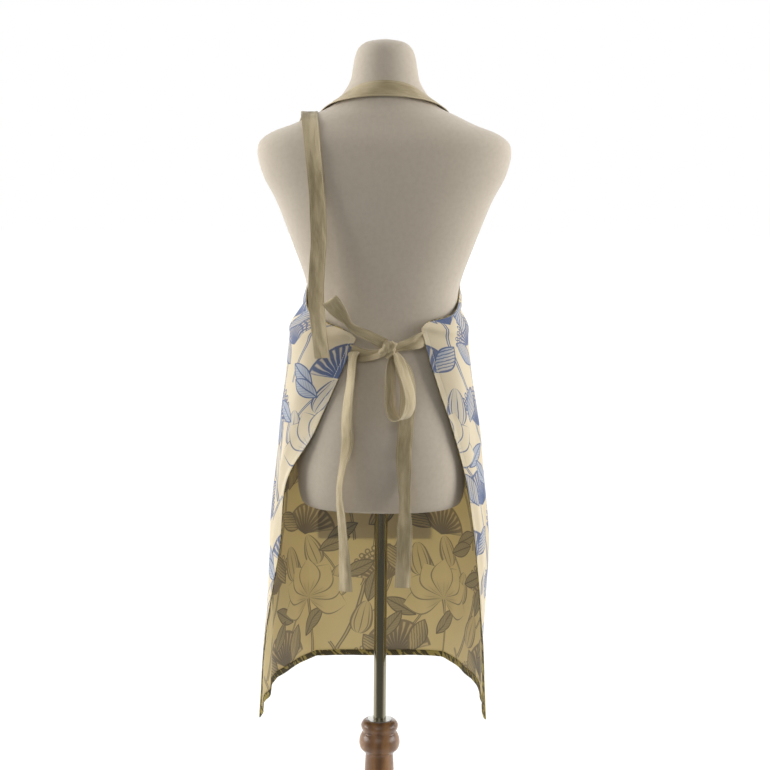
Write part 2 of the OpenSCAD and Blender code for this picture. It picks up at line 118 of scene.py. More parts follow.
class Tree:
    # adds nodes to a material's or a group's tree
    def __init__(self, nodeTree):
        self.tree = nodeTree

    def add(self, kind, settings=None, out=0, **sockets):
        node = self.tree.nodes.new(kind)
        for key, value in (settings or {}).items():
            setattr(node, key, value)
        for key, value in sockets.items():
            index = int(key[1:]) if key[0] == "i" and key[1:].isdigit() else key.replace("_", " ")
            self.put(node, index, value)
        return Num(self, node.outputs[out])

    def put(self, node, index, value):
        value = plain(value)
        if isinstance(value, bpy.types.NodeSocket):
            self.tree.links.new(value, node.inputs[index])
        elif value is not None:
            node.inputs[index].default_value = value

    def math(self, operation, *values):
        sockets = {f"i{n}": value for n, value in enumerate(values)}
        return self.add("ShaderNodeMath", {"operation": operation}, **sockets)

    def vec(self, operation, *values, out=0):
        sockets = {f"i{n}": value for n, value in enumerate(values)}
        return self.add("ShaderNodeVectorMath", {"operation": operation}, out, **sockets)

    def split(self, vector):
        node = self.add("ShaderNodeSeparateXYZ", i0=vector).socket.node
        return [Num(self, socket) for socket in node.outputs]

    def combine(self, x=0.0, y=0.0, z=0.0):
        return self.add("ShaderNodeCombineXYZ", i0=x, i1=y, i2=z)

    def mix(self, factor, first, second):
        return self.add("ShaderNodeMix", {"data_type": "RGBA"}, 2, i0=factor, i6=first, i7=second)

    def ramp(self, factor, stops):
        node = self.add("ShaderNodeValToRGB", i0=factor).socket.node
        while len(node.color_ramp.elements) < len(stops):
            node.color_ramp.elements.new(0.5)
        for element, (place, colour) in zip(node.color_ramp.elements, stops):
            element.position = place
            element.color = colour if len(colour) == 4 else (*colour, 1)
        return Num(self, node.outputs[0])

    def fade(self, value, low, high, first=0.0, last=1.0):
        return self.add("ShaderNodeMapRange", {"interpolation_type": "SMOOTHSTEP"},
                        i0=value, i1=low, i2=high, i3=first, i4=last)

    def speckle(self, vector, scale, detail=2.0, roughness=0.5, out=0):
        return self.add("ShaderNodeTexNoise", None, out, Vector=vector, Scale=scale,
                        Detail=detail, Roughness=roughness)

    def bump(self, height, strength, distance):
        return self.add("ShaderNodeBump", None, 0, Height=height, Strength=strength, Distance=distance)


def rgb(red, green, blue):
    # a colour as seen on a screen, 0 to 255, turned into the linear colour that shaders use
    return tuple((c / 255 / 12.92) if c < 10 else ((c / 255 + 0.055) / 1.055) ** 2.4
                 for c in (red, green, blue)) + (1.0,)


def newMaterial(name, **surface):
    material = bpy.data.materials.new(name)
    material.use_nodes = True
    tree = Tree(material.node_tree)
    shader = material.node_tree.nodes["Principled BSDF"]
    for key, value in surface.items():
        tree.put(shader, key.replace("_", " "), value)
    return material, tree, shader


def finish(tree, shader, **surface):
    for key, value in surface.items():
        tree.put(shader, key.replace("_", " "), value)


# ---------- plain materials ----------

def woodMaterial(name, light, dark, along="Z"):
    material, tree, shader = newMaterial(name, IOR=1.5, Coat_Roughness=0.18)
    place = tree.add("ShaderNodeTexCoord", out=3)
    stretch = {"X": (2.5, 26, 26), "Y": (26, 2.5, 26), "Z": (26, 26, 2.5)}[along]
    grainPlace = tree.vec("MULTIPLY", place, stretch)
    warp = tree.speckle(grainPlace, 1.3, 3)
    rings = tree.add("ShaderNodeTexWave", {"wave_type": "BANDS", "bands_direction": "X"},
                     Vector=grainPlace, Scale=0.55, Distortion=7.0, Detail=3.0)
    pores = tree.speckle(tree.vec("MULTIPLY", place, tuple(9 * s for s in stretch)), 6, 2)
    tone = tree.ramp(rings * 0.28 + warp * 0.75,
                     [(0.25, dark), (0.6, light), (0.85, tuple(c * 1.08 for c in light))])
    finish(tree, shader,
           Base_Color=tree.mix(tree.fade(pores, 0.56, 0.7, 0, 0.5), tone, dark),
           Roughness=0.34 + 0.16 * pores, Coat_Weight=0.45,
           Normal=tree.bump(pores + rings * 0.6, 0.12, 0.0006))
    return material


def metalMaterial(name, colour, rough, brushed=0.5):
    material, tree, shader = newMaterial(name, Metallic=1.0)
    place = tree.add("ShaderNodeTexCoord", out=3)
    streak = tree.speckle(tree.vec("MULTIPLY", place, (400, 400, 12)), 1.0, 3)
    smear = tree.speckle(place, 22, 3)
    finish(tree, shader,
           Base_Color=tree.mix(smear, colour, tuple(c * 0.82 for c in colour[:3]) + (1,)),
           Roughness=rough + brushed * 0.12 * streak + 0.05 * smear,
           Normal=tree.bump(streak, 0.05 * brushed, 0.0003))
    return material


def chromeMaterial():
    material, tree, shader = newMaterial("chrome", Metallic=1.0)
    place = tree.add("ShaderNodeTexCoord", out=3)
    smear = tree.speckle(tree.vec("MULTIPLY", place, (30, 30, 9)), 1.0, 4)
    scratch = tree.speckle(tree.vec("MULTIPLY", place, (900, 900, 25)), 1.0, 2)
    finish(tree, shader,
           Base_Color=tree.mix(smear, rgb(160, 154, 134), rgb(134, 128, 108)),
           Roughness=0.07 + 0.08 * smear + 0.05 * scratch)
    return material


def plasticMaterial(name, colour, rough):
    material, tree, shader = newMaterial(name)
    place = tree.add("ShaderNodeTexCoord", out=3)
    grain = tree.speckle(place, 900, 2)
    cloud = tree.speckle(place, 14, 3)
    finish(tree, shader,
           Base_Color=tree.mix(cloud, colour, tuple(c * 0.86 for c in colour[:3]) + (1,)),
           Roughness=rough + 0.1 * cloud, Normal=tree.bump(grain, 0.15, 0.0002))
    return material


def feltMaterial():
    material, tree, shader = newMaterial("felt", Sheen_Weight=0.4, Sheen_Roughness=0.5)
    place = tree.add("ShaderNodeTexCoord", out=3)
    fuzz = tree.speckle(place, 700, 4, 0.8)
    finish(tree, shader, Base_Color=tree.mix(fuzz, rgb(52, 48, 44), rgb(92, 86, 80)),
           Roughness=0.92 + 0.06 * fuzz, Normal=tree.bump(fuzz, 0.6, 0.0006))
    return material


def plywoodMaterial():
    material, tree, shader = newMaterial("plywood")
    place = tree.add("ShaderNodeTexCoord", out=3)
    x, y, z = tree.split(place)
    plies = tree.math("FRACT", z * 420)
    grain = tree.speckle(tree.vec("MULTIPLY", place, (8, 90, 300)), 1.0, 4)
    finish(tree, shader,
           Base_Color=tree.ramp(grain * 0.7 + plies * 0.3,
                                [(0.2, rgb(126, 92, 56)), (0.8, rgb(196, 164, 116))]),
           Roughness=0.7 + 0.15 * grain, Normal=tree.bump(grain, 0.2, 0.0004))
    return material


# ---------- cloth materials ----------

weave = {"tapePitch": 0.0011, "printPitch": 0.0006, "jerseyPitch": 0.0013}


def wovenHeight(tree, u, v, pitch):
    # over-and-under threads: two crossed rows of ridges that take turns
    warp = tree.math("SINE", u * (2 * math.pi / pitch))
    weft = tree.math("SINE", v * (2 * math.pi / pitch))
    return warp * weft


def jerseyMaterial():
    material, tree, shader = newMaterial("jersey", Sheen_Weight=0.25, Sheen_Roughness=0.45)
    u, v, _ = tree.split(tree.add("ShaderNodeUVMap", {"uv_map": "cut"}))
    rib = abs(tree.math("SINE", u * (math.pi / weave["jerseyPitch"])))
    chain = abs(tree.math("SINE", v * (math.pi / weave["jerseyPitch"]) + rib * 1.4))
    place = tree.add("ShaderNodeTexCoord", out=3)
    cloud = tree.speckle(place, 7, 3)
    fleck = tree.speckle(place, 160, 3)
    tone = tree.mix(cloud, rgb(205, 194, 178), rgb(196, 184, 166))
    finish(tree, shader,
           Base_Color=tree.mix(tree.fade(fleck, 0.3, 0.8, 0, 0.18), tone, rgb(168, 155, 136)),
           Roughness=0.86 + 0.08 * fleck,
           Normal=tree.bump(rib * 0.6 + chain * 0.4, 0.22, 0.0005))
    return material


def tapeMaterial():
    # cotton tape folded in and stitched along both edges; u runs across, v along
    material, tree, shader = newMaterial("tapeCotton", Sheen_Weight=0.3, Sheen_Roughness=0.5)
    u, v, _ = tree.split(tree.add("ShaderNodeUVMap", {"uv_map": "cut"}))
    half = tree.split(tree.add("ShaderNodeUVMap", {"uv_map": "edge"}))[0]
    threads = wovenHeight(tree, u, v, weave["tapePitch"])
    slub = tree.speckle(tree.combine(u * 900, v * 60), 1.0, 3)
    cloud = tree.speckle(tree.combine(u * 30, v * 14, 0.3), 1.0, 3)
    pucker = tree.speckle(tree.combine(u * 120, v * 42, 0.9), 1.0, 3)
    line = tree.fade(abs(half - 0.0022), 0.0002, 0.0005, 1, 0)
    stitch = line * tree.fade(tree.math("FRACT", v / 0.0029), 0.16, 0.3)
    groove = tree.fade(abs(half - 0.0022), 0.0, 0.0012, 1, 0)
    base = tree.mix(tree.fade(cloud, 0.35, 0.65), rgb(166, 149, 112), rgb(204, 187, 150))
    base = tree.mix(tree.fade(slub, 0.35, 0.75, 0, 0.35), base, rgb(212, 197, 163))
    base = tree.mix(threads * 0.12 + 0.1, base, rgb(108, 94, 64))
    finish(tree, shader,
           Base_Color=tree.mix(stitch * 0.7, base, rgb(214, 200, 166)),
           Roughness=0.86 + 0.08 * slub,
           Normal=tree.bump(threads * 0.3 + slub * 0.4 + pucker * 9 + stitch * 1.2 - groove * 1.3,
                            0.6, 0.0005))
    return material


# ---------- the printed cotton ----------

def motifGroup(name, build):
    # a motif in its own unit frame: gives its inside, its ink lines and its tint
    group = bpy.data.node_groups.new(name, "ShaderNodeTree")
    group.interface.new_socket("place", in_out="INPUT", socket_type="NodeSocketVector")
    for label in ("inside", "ink", "tint"):
        group.interface.new_socket(label, in_out="OUTPUT", socket_type="NodeSocketFloat")
    tree = Tree(group)
    entry = group.nodes.new("NodeGroupInput")
    x, y, z = tree.split(Num(tree, entry.outputs[0]))
    result = group.nodes.new("NodeGroupOutput")
    for index, value in enumerate(build(tree, x, y)):
        tree.put(result, index, value)
    return group


def leafMotif(tree, x, y):
    # a pointed leaf from y = -1 to 1, filled with tint, with a midrib and slanting veins
    edge = abs(x) / 0.42 + y * y
    inside = tree.fade(edge, 0.98, 1.02, 1, 0)
    rim = tree.fade(abs(edge - 0.95), 0.06, 0.1, 1, 0)
    rib = tree.fade(abs(x), 0.02, 0.045, 1, 0) * inside
    veins = tree.fade(abs(tree.math("SINE", (y - abs(x) * 1.5) * 13)), 0.2, 0.45, 1, 0) * inside
    return inside, tree.math("MAXIMUM", tree.math("MAXIMUM", rim, rib), veins * 0.5), inside


def halfLeafMotif(tree, x, y):
    # a leaf drawn in broad parallel hatching, darker along one side
    edge = abs(x) / 0.5 + y * y
    inside = tree.fade(edge, 0.98, 1.02, 1, 0)
    rim = tree.fade(abs(edge - 0.95), 0.06, 0.1, 1, 0)
    wander = tree.speckle(tree.combine(x * 2, y * 2), 2.0, 1) * 0.15
    hatch = tree.fade(abs(tree.math("SINE", (y * 0.8 + x * 1.6 + wander) * 12)), 0.45, 0.65, 1, 0) * inside
    shade = tree.fade(x, -0.1, 0.3) * inside
    return inside, tree.math("MAXIMUM", rim, hatch * 0.85), inside * (0.55 + shade * 0.45)


def budMotif(tree, x, y):
    # a closed tulip bud: an egg with petal lines that run from its foot to its tip
    belly = tree.math("SQRT", tree.math("MAXIMUM", 1 - y * y, 0.0)) * (0.62 - y * 0.16)
    across = x / tree.math("MAXIMUM", belly, 0.02)
    inside = (abs(across) < 1) * (abs(y) < 1)
    rim = tree.fade(abs(abs(across) - 0.93), 0.07, 0.13, 1, 0) * (abs(y) < 1)
    lines = tree.fade(abs(tree.math("SINE", across * 5.0 + y * 0.6)), 0.16, 0.32, 1, 0) * inside
    tips = tree.fade(y, 0.15, 0.7, 1, 0)
    return inside, tree.math("MAXIMUM", rim, lines * (0.4 + tips * 0.6)), inside * 0.25


def fanStrokes(tree, x, y, reach, count):
    # brush strokes that fan out from a foot at the origin, dark at the foot, and the fan's own area
    radius = tree.math("SQRT", x * x + y * y)
    angle = tree.math("ARCTAN2", x, y)
    fan = tree.fade(abs(angle), 1.18, 1.24, 1, 0)
    wander = (tree.speckle(tree.combine(x * 1.5, y * 1.5), 2.0, 1) - 0.5) * 0.5
    spoke = tree.math("FRACT", angle * count / 1.25 + 0.5 + wander) - 0.5
    within = (radius < reach) * fan
    stroke = tree.fade(abs(spoke), tree.fade(radius, 0.2, reach, 0.42, 0.16), 0.46, 1, 0) * within
    foot = tree.fade(radius, 0.22, 0.42, 1, 0) * fan
    return radius, angle, fan, within, tree.math("MAXIMUM", stroke, foot)


def umbelMotif(tree, x, y):
    # a broad thistle-like head: bold strokes, a toothed top edge
    radius, angle, fan, within, strokes = fanStrokes(tree, x, y, 0.96, 6.0)
    top = tree.fade(abs(radius - 0.93), 0.02, 0.05, 1, 0) * fan
    return within, tree.math("MAXIMUM", strokes, top), within * tree.fade(radius, 0.3, 0.9, 0.9, 0.25)


def beadMotif(tree, x, y):
    # a fan of strokes with small round beads at their ends
    radius, angle, fan, within, strokes = fanStrokes(tree, x, y, 0.74, 6.0)
    inside, ink = within, strokes
    count = 6.0
    for ring, shift in ((0.74, 0.0), (0.86, 0.5), (0.98, 0.0)):
        cell = tree.math("FRACT", angle * count / 1.25 + shift) - 0.5
        side = cell * (radius * (1.25 / count))
        bead = tree.math("SQRT", side * side + (radius - ring) * (radius - ring))
        disc = tree.fade(bead, 0.062, 0.072, 1, 0) * fan
        ringLine = tree.fade(abs(bead - 0.06), 0.014, 0.026, 1, 0) * fan
        inside = tree.math("MAXIMUM", inside, disc)
        ink = tree.math("MAXIMUM", ink * (1 - disc), ringLine)
    return inside, ink, within * 0.35


def petalMotif(tree, x, y):
    # one broad petal from its foot at y = 0 to its tip at y = 1, in outline with a few veins
    belly = tree.math("SINE", tree.math("MINIMUM", tree.math("MAXIMUM", y, 0.0), 1.0) ** 1.25 * math.pi)
    across = x / tree.math("MAXIMUM", belly * 0.34, 0.012)
    within = (y > 0) * (y < 1)
    inside = (abs(across) < 1) * within
    rim = tree.fade(abs(abs(across) - 0.96), 0.03, 0.075, 1, 0) * within
    vein = tree.fade(abs(tree.math("SINE", across * 5.2)), 0.08, 0.2, 1, 0) * inside
    low = tree.fade(y, 0.2, 0.55, 1, 0)
    return inside, tree.math("MAXIMUM", rim, vein * low * 0.8), inside * low * 0.35


def stemMotif(tree, x, y):
    # a curved stalk drawn with two lines, bending like a shallow bow
    middle = x - 0.16 * (1 - y * y)
    within = abs(y) < 1
    inside = (abs(middle) < 0.04) * within
    rim = tree.fade(abs(abs(middle) - 0.028), 0.008, 0.018, 1, 0) * within
    return inside, rim, inside * 0.5


print_ = {
    "repeat": (0.230, 0.288),
    # motif, place in the repeat, turn in degrees, half length; later ones lie on top
    "sprig": [
        ("stem", (0.038, 0.054), 6, 0.075), ("stem", (0.101, 0.180), -12, 0.085),
        ("stem", (0.189, 0.180), 16, 0.085),
        ("stem", (0.173, 0.054), -20, 0.060), ("stem", (0.065, 0.155), 34, 0.050),
        ("stem", (0.216, 0.267), 10, 0.060),
        ("stem", (0.144, 0.249), -38, 0.045), ("stem", (0.014, 0.216), 18, 0.055),
        ("umbel", (0.038, 0.090), 6, 0.061), ("beads", (0.017, 0.216), -14, 0.061),
        ("umbel", (0.108, 0.009), 14, 0.056),
        ("beads", (0.216, 0.054), 20, 0.047),
        ("bud", (0.072, 0.254), -8, 0.029), ("bud", (0.208, 0.153), 16, 0.029),
        ("bud", (0.167, 0.216), 8, 0.028),
        ("bud", (0.122, 0.270), -20, 0.027),
        ("half", (0.010, 0.042), 52, 0.030), ("half", (0.066, 0.038), -54, 0.030),
        ("leaf", (0.122, 0.148), 40, 0.030),
        ("half", (0.085, 0.209), 58, 0.029), ("leaf", (0.201, 0.238), 64, 0.030),
        ("half", (0.227, 0.099), -36, 0.030),
        ("leaf", (0.042, 0.172), -60, 0.031), ("half", (0.072, 0.121), 22, 0.031),
        ("leaf", (0.174, 0.013), 62, 0.029),
        ("half", (0.033, 0.253), -28, 0.030), ("leaf", (0.160, 0.280), 66, 0.029),
        ("leaf", (0.223, 0.208), 12, 0.029),
        ("half", (0.135, 0.189), -42, 0.028), ("leaf", (0.027, 0.141), 36, 0.029)],
    "flower": ((0.114, 0.187), 0.068, (-100, -62, 100, 62, -30, 34, 0)),
    "ink": rgb(54, 80, 128), "tint": rgb(138, 158, 186), "ground": rgb(224, 208, 178)}


def printPattern(tree, place):
    # returns the ink lines and the tint of the whole repeat, each 0 to 1
    groups = {"leaf": motifGroup("leafMotif", leafMotif), "beads": motifGroup("beadMotif", beadMotif),
              "half": motifGroup("halfLeafMotif", halfLeafMotif),
              "bud": motifGroup("budMotif", budMotif), "umbel": motifGroup("umbelMotif", umbelMotif),
              "petal": motifGroup("petalMotif", petalMotif), "stem": motifGroup("stemMotif", stemMotif)}
    ink = tint = None
    centre, petalSize, turns = print_["flower"]
    petals = [("petal", centre, turn, petalSize) for turn in turns]
    wide, tall = print_["repeat"]
    for index, (kind, (x, y), turn, size) in enumerate(print_["sprig"] + petals):
        if index and index % 4 == 0:
            # each batch of motifs waits for the last one, so the shader holds few values at a time
            place = tree.vec("ADD", place, tree.combine(0.0, 0.0, (ink + tint) * 0.001))
        local = tree.vec("SUBTRACT", place, (x, y, 0))
        local = tree.vec("WRAP", local, (wide / 2, tall / 2, 1), (-wide / 2, -tall / 2, -1))
        local = tree.add("ShaderNodeVectorRotate", {"rotation_type": "Z_AXIS"}, Vector=local,
                         Angle=math.radians(turn))
        local = tree.vec("MULTIPLY", local, (1 / size, 1 / size, 0))
        node = tree.add("ShaderNodeGroup", {"node_tree": groups[kind]}, i0=local).socket.node
        inside, ownInk, ownTint = [Num(tree, socket) for socket in node.outputs]
        ink = ownInk if ink is None else tree.math("MAXIMUM", ink * (1 - inside), ownInk)
        tint = ownTint if tint is None else tint * (1 - inside) + ownTint
    return ink, tint


# light from outside glows faintly through the thin cotton
thinCloth = {"Subsurface_Weight": 0.35, "Subsurface_Scale": 0.003, "Subsurface_Radius": (1.0, 0.92, 0.75)}


def clothBase(tree):
    uv = tree.add("ShaderNodeUVMap", {"uv_map": "cut"})
    u, v, _ = tree.split(uv)
    wobble = tree.speckle(uv, 26, 2, out=1)
    place = tree.vec("ADD", uv,
                     tree.vec("MULTIPLY", tree.vec("SUBTRACT", wobble, (0.5, 0.5, 0.5)), (0.003, 0.003, 0)))
    threads = wovenHeight(tree, u, v, weave["printPitch"])
    slub = tree.math("MAXIMUM", tree.speckle(tree.combine(u * 1500, v * 90), 1.0, 2),
                     tree.speckle(tree.combine(u * 90, v * 1500), 1.0, 2))
    crease = tree.speckle(tree.combine(u * 16, v * 9, 0.5), 1.0, 4)
    return place, u, v, threads, slub, crease


def stitchRow(tree, u, v, edge, inset, pitch=0.0032):
    # a row of machine stitches a little way in from an edge; edge is the distance from it
    line = tree.fade(abs(edge - inset), 0.0002, 0.0006, 1, 0)
    dash = tree.fade(tree.math("FRACT", (u + v) / pitch), 0.18, 0.34)
    groove = tree.fade(abs(edge - inset), 0.0, 0.0016, 1, 0)
    return line * dash, groove


def faceMaterial():
    material, tree, shader = newMaterial("printedFace", Sheen_Weight=0.12, Sheen_Roughness=0.5, **thinCloth)
    place, u, v, threads, slub, crease = clothBase(tree)
    edge = tree.split(tree.add("ShaderNodeUVMap", {"uv_map": "edge"}))[0]
    ink, tint = printPattern(tree, place)
    stitch, groove = stitchRow(tree, u, v, edge, 0.0085)
    worn = 0.72 + 0.28 * slub
    base = tree.mix(crease * 0.5, print_["ground"], rgb(206, 190, 158))
    base = tree.mix(tint * 0.8 * worn, base, print_["tint"])
    base = tree.mix(ink * worn, base, print_["ink"])
    base = tree.mix(stitch * 0.8, base, rgb(226, 218, 198))
    base = tree.mix(threads * 0.06 + 0.05, base, rgb(150, 138, 112))
    finish(tree, shader, Base_Color=base, Roughness=0.84 + 0.1 * slub,
           Normal=tree.bump(threads * 0.25 + slub * 0.5 + crease * 2.2 + stitch - groove * 1.6, 0.4, 0.0006))
    return material


def reverseMaterial():
    material, tree, shader = newMaterial("printedReverse", Sheen_Weight=0.12, Sheen_Roughness=0.5,
                                         **thinCloth)
    place, u, v, threads, slub, crease = clothBase(tree)
    ink, tint = printPattern(tree, place)
    base = tree.mix(crease * 0.5, rgb(232, 212, 168), rgb(220, 200, 156))
    base = tree.mix(tint * 0.62, base, rgb(134, 132, 118))
    base = tree.mix(ink * 0.66 * (0.8 + 0.2 * slub), base, rgb(90, 88, 100))
    base = tree.mix(threads * 0.05 + 0.04, base, rgb(120, 106, 76))
    finish(tree, shader, Base_Color=base, Roughness=0.88 + 0.08 * slub,
           Normal=tree.bump(threads * 0.25 + slub * 0.5 + crease * 2.2, 0.4, 0.0006))
    return material


def shadedHemMaterial():
    # the turned-in hem in painted shade: the face cloth's cream ground and blue ink painted olive and
    # near-black, as they look in shade, the ink showing as dark bars
    material, tree, shader = newMaterial("turnedHemPaintedShade", Sheen_Weight=0.1, Sheen_Roughness=0.5)
    place, u, v, threads, slub, crease = clothBase(tree)
    bars = tree.speckle(tree.combine((u + v) * 150, (u - v) * 34, 0.7), 1.0, 2)
    fine = abs(tree.math("SINE", (u + v * 0.8) * 900))
    ink = tree.fade(bars, 0.45, 0.48) * tree.fade(fine, 0.2, 0.5, 1.0, 0.75)
    # painted shade: the olive ground and the near-black ink bars stand for the printed face's colours in
    # shade
    base = tree.mix(crease, rgb(176, 158, 84), rgb(196, 178, 104))
    base = tree.mix(ink, base, rgb(26, 26, 36))
    finish(tree, shader, Base_Color=base, Roughness=0.88 + 0.06 * slub,
           Normal=tree.bump(threads * 0.3 + slub * 0.6, 0.4, 0.0005))
    return material


def floorMaterial():
    material, tree, shader = newMaterial("paleFloor", Roughness=0.7)
    place = tree.add("ShaderNodeTexCoord", out=3)
    cloud = tree.speckle(place, 0.8, 2)
    x, y, z = tree.split(place)
    radius = tree.math("SQRT", x * x + y * y)
    far = tree.fade(radius, *studio["floorFade"])
    pale = studio["floorColour"]
    near = tree.mix(cloud, (*pale, 1), tuple(c * 0.985 for c in pale) + (1,))
    # painted shade: the near floor darkens to almost black towards the camera side (-Y)
    near = tree.mix(tree.fade(y, *studio["floorShade"], 0.9, 0), near, (0.05, 0.05, 0.045, 1))
    sky = skyColour(tree, y / tree.math("MAXIMUM", radius, 0.1))
    finish(tree, shader, Base_Color=tree.mix(far, near, (0, 0, 0, 1)),
           Emission_Color=tree.mix(far, (0, 0, 0, 1), sky), Emission_Strength=1.0)
    return material


def skyColour(tree, toFront):
    # white in front of the wearer, darker behind; toFront runs from -1 to 1
    return tree.mix(tree.fade(toFront, *studio["skyTurn"]), (*studio["skyBack"], 1), (*studio["skyFront"], 1))


def addWorld():
    world = bpy.data.worlds.new("studio")
    bpy.context.scene.world = world
    world.use_nodes = True
    tree = Tree(world.node_tree)
    x, y, z = tree.split(tree.add("ShaderNodeTexCoord", out=0))
    background = world.node_tree.nodes["Background"]
    tree.put(background, "Color", skyColour(tree, y))
    tree.put(background, "Strength", 1.0)


def addFloor():
    shape = bmesh.new()
    bmesh.ops.create_grid(shape, x_segments=2, y_segments=2, size=studio["floorSize"] / 2)
    mesh = bpy.data.meshes.new("floor")
    shape.to_mesh(mesh)
    shape.free()
    floor = bpy.data.objects.new("floor", mesh)
    bpy.context.scene.collection.objects.link(floor)
    mesh.materials.append(floorMaterial())


addCamera()
addLamps()
addWorld()
addFloor()
bpy.context.scene.view_settings.view_transform = "Standard"
print("camera, light and floor made")

materials = {
    "wood": woodMaterial("turnedWood", rgb(152, 109, 67), rgb(96, 62, 34)),
    "woodX": woodMaterial("legWoodX", rgb(152, 109, 67), rgb(96, 62, 34), "X"),
    "woodY": woodMaterial("legWoodY", rgb(152, 109, 67), rgb(96, 62, 34), "Y"),
    "steel": metalMaterial("brushedSteel", rgb(190, 190, 188), 0.3),
    "brass": metalMaterial("brass", rgb(196, 158, 84), 0.28),
    "nickel": metalMaterial("nickel", rgb(198, 192, 180), 0.24, 0.2),
    "chrome": chromeMaterial(),
    "felt": feltMaterial(),
    "plywood": plywoodMaterial(),
    "cap_plastic": plasticMaterial("capPlastic", rgb(30, 30, 32), 0.5),
    "shell": plasticMaterial("mouldedShell", rgb(214, 206, 190), 0.6),
    "jersey": jerseyMaterial(),
    "tape": tapeMaterial(),
    "face": faceMaterial(),
    "reverse": reverseMaterial(),
    "hem": shadedHemMaterial()}
print("materials made:", len(materials))


# ---------- mesh helpers ----------

def newPiece(name, shape, body, replaced, slot, *mats, smooth=True):
    mesh = bpy.data.meshes.new(name)
    shape.to_mesh(mesh)
    shape.free()
    obj = bpy.data.objects.new(name, mesh)
    bpy.context.scene.collection.objects.link(obj)
    for material in mats:
        mesh.materials.append(material)
    for face in mesh.polygons:
        face.use_smooth = smooth
    if body:
        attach(obj, body)
    if replaced:
        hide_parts(*replaced)
    return obj


def addModifier(obj, kind, **settings):
    modifier = obj.modifiers.new(kind.lower(), kind)
    for key, value in settings.items():
        setattr(modifier, key, value)
    return modifier


def curveAt(points, where):
    # the point at position where along a list, on a Catmull-Rom curve
    last = len(points) - 1
    i = min(max(int(math.floor(where)), 0), last - 1)
    u = where - i
    a, b, c, d = points[max(i - 1, 0)], points[i], points[i + 1], points[min(i + 2, last)]
    return 0.5 * (2 * b + (c - a) * u + (2 * a - 5 * b + 4 * c - d) * u * u
                  + (3 * b - a - 3 * c + d) * u ** 3)


def gridMesh(columns, rows, shapeAt):
    # a grid whose points shapeAt(across, down) places, across and down running 0 to 1; keeps the flat place
    # and edge distance it gives as uv layers
    shape = bmesh.new()
    bmesh.ops.create_grid(shape, x_segments=columns, y_segments=rows, size=0.5)
    cut = shape.loops.layers.uv.new("cut")
    edge = shape.loops.layers.uv.new("edge")
    spots = {}
    for point in shape.verts:
        across, down = point.co.x + 0.5, 0.5 - point.co.y
        spots[point] = shapeAt(across, down)
    for face in shape.faces:
        for loop in face.loops:
            place, flat, margin = spots[loop.vert]
            loop[cut].uv = flat
            loop[edge].uv = (margin, 0)
    for point, (place, flat, margin) in spots.items():
        point.co = place
    bmesh.ops.reverse_faces(shape, faces=shape.faces)
    return shape


# ---------- torso form ----------

torsoForm = {
    # height, half width, front depth, back depth in millimetres
    "rows": [
        (755.3, 118, 80, 84), (761, 125, 87, 91), (778, 130, 93, 97), (803, 132, 97, 102),
        (836, 133, 98, 105), (890, 130, 97, 104), (966, 120, 92, 88), (1041, 114, 88, 76),
        (1100, 118.5, 92, 76), (1162, 140, 105, 82), (1226, 165, 110, 90), (1262, 184, 99, 93),
        (1290, 193, 87, 92), (1309, 194, 80, 90), (1321, 188, 74, 87), (1333, 170, 68, 82),
        (1345, 138, 62, 76), (1358, 111, 57, 70), (1370, 85, 54, 64), (1382, 72, 52, 59),
        (1394, 62, 50, 55), (1410, 53, 49, 50.5), (1430, 49, 48, 47), (1446, 46, 46, 44),
        (1460, 40, 40, 39), (1469, 27, 27, 26), (1473, 3, 3, 3)],
    "bust": 0.024, "bustX": 0.072, "bustZ": 1.215, "sides": 128, "rings": 180, "cover": 0.0012,
    "shellFoot": 1.55, "shellInset": 0.0018, "shellThick": 0.0045}
torsoCurve = [Vector((a, b, c, d)) / 1000 for a, b, c, d in torsoForm["rows"]]


def torsoPoint(where, angle):
    height, wide, front, back = curveAt(torsoCurve, where)
    c, s = math.cos(angle), math.sin(angle)
    square = 2.3 - 0.3 * min(max((height - 1.345) / 0.04, 0), 1)
    x = wide * math.copysign(abs(c) ** (2 / square), c)
    y = (front if s > 0 else back) * math.copysign(abs(s) ** (2 / square), s)
    if s > 0:
        y += torsoForm["bust"] * math.exp(-((abs(x) - torsoForm["bustX"]) / 0.042) ** 2
                                          - ((height - torsoForm["bustZ"]) / 0.045) ** 2)
    return Vector((x, y, height))


def makeJersey():
    sides, rings = torsoForm["sides"], torsoForm["rings"]
    last = len(torsoCurve) - 1

    def place(across, down):
        where = (1 - down) * last
        angle = across * 2 * math.pi + math.pi / 2
        point = torsoPoint(where, angle)
        return point, (across * 0.78, point.z), 0.5
    shape = gridMesh(sides, rings, place)
    bmesh.ops.remove_doubles(shape, verts=shape.verts, dist=0.00002)
    rim = [e for e in shape.edges if e.is_boundary and e.verts[0].co.z < 0.8]
    turned = bmesh.ops.extrude_edge_only(shape, edges=rim)["geom"]
    for point in [g for g in turned if isinstance(g, bmesh.types.BMVert)]:
        point.co = (point.co.x * 0.75, point.co.y * 0.68, point.co.z + 0.0005)
    crown = [e for e in shape.edges if e.is_boundary and e.verts[0].co.z > 1.4]
    bmesh.ops.holes_fill(shape, edges=crown, sides=0)
    bmesh.ops.recalc_face_normals(shape, faces=shape.faces)
    jersey = newPiece("jersey", shape, "form", ["jersey_cover"], "jersey", materials["jersey"])
    addModifier(jersey, "SOLIDIFY", thickness=torsoForm["cover"], offset=-1.0)
    return jersey


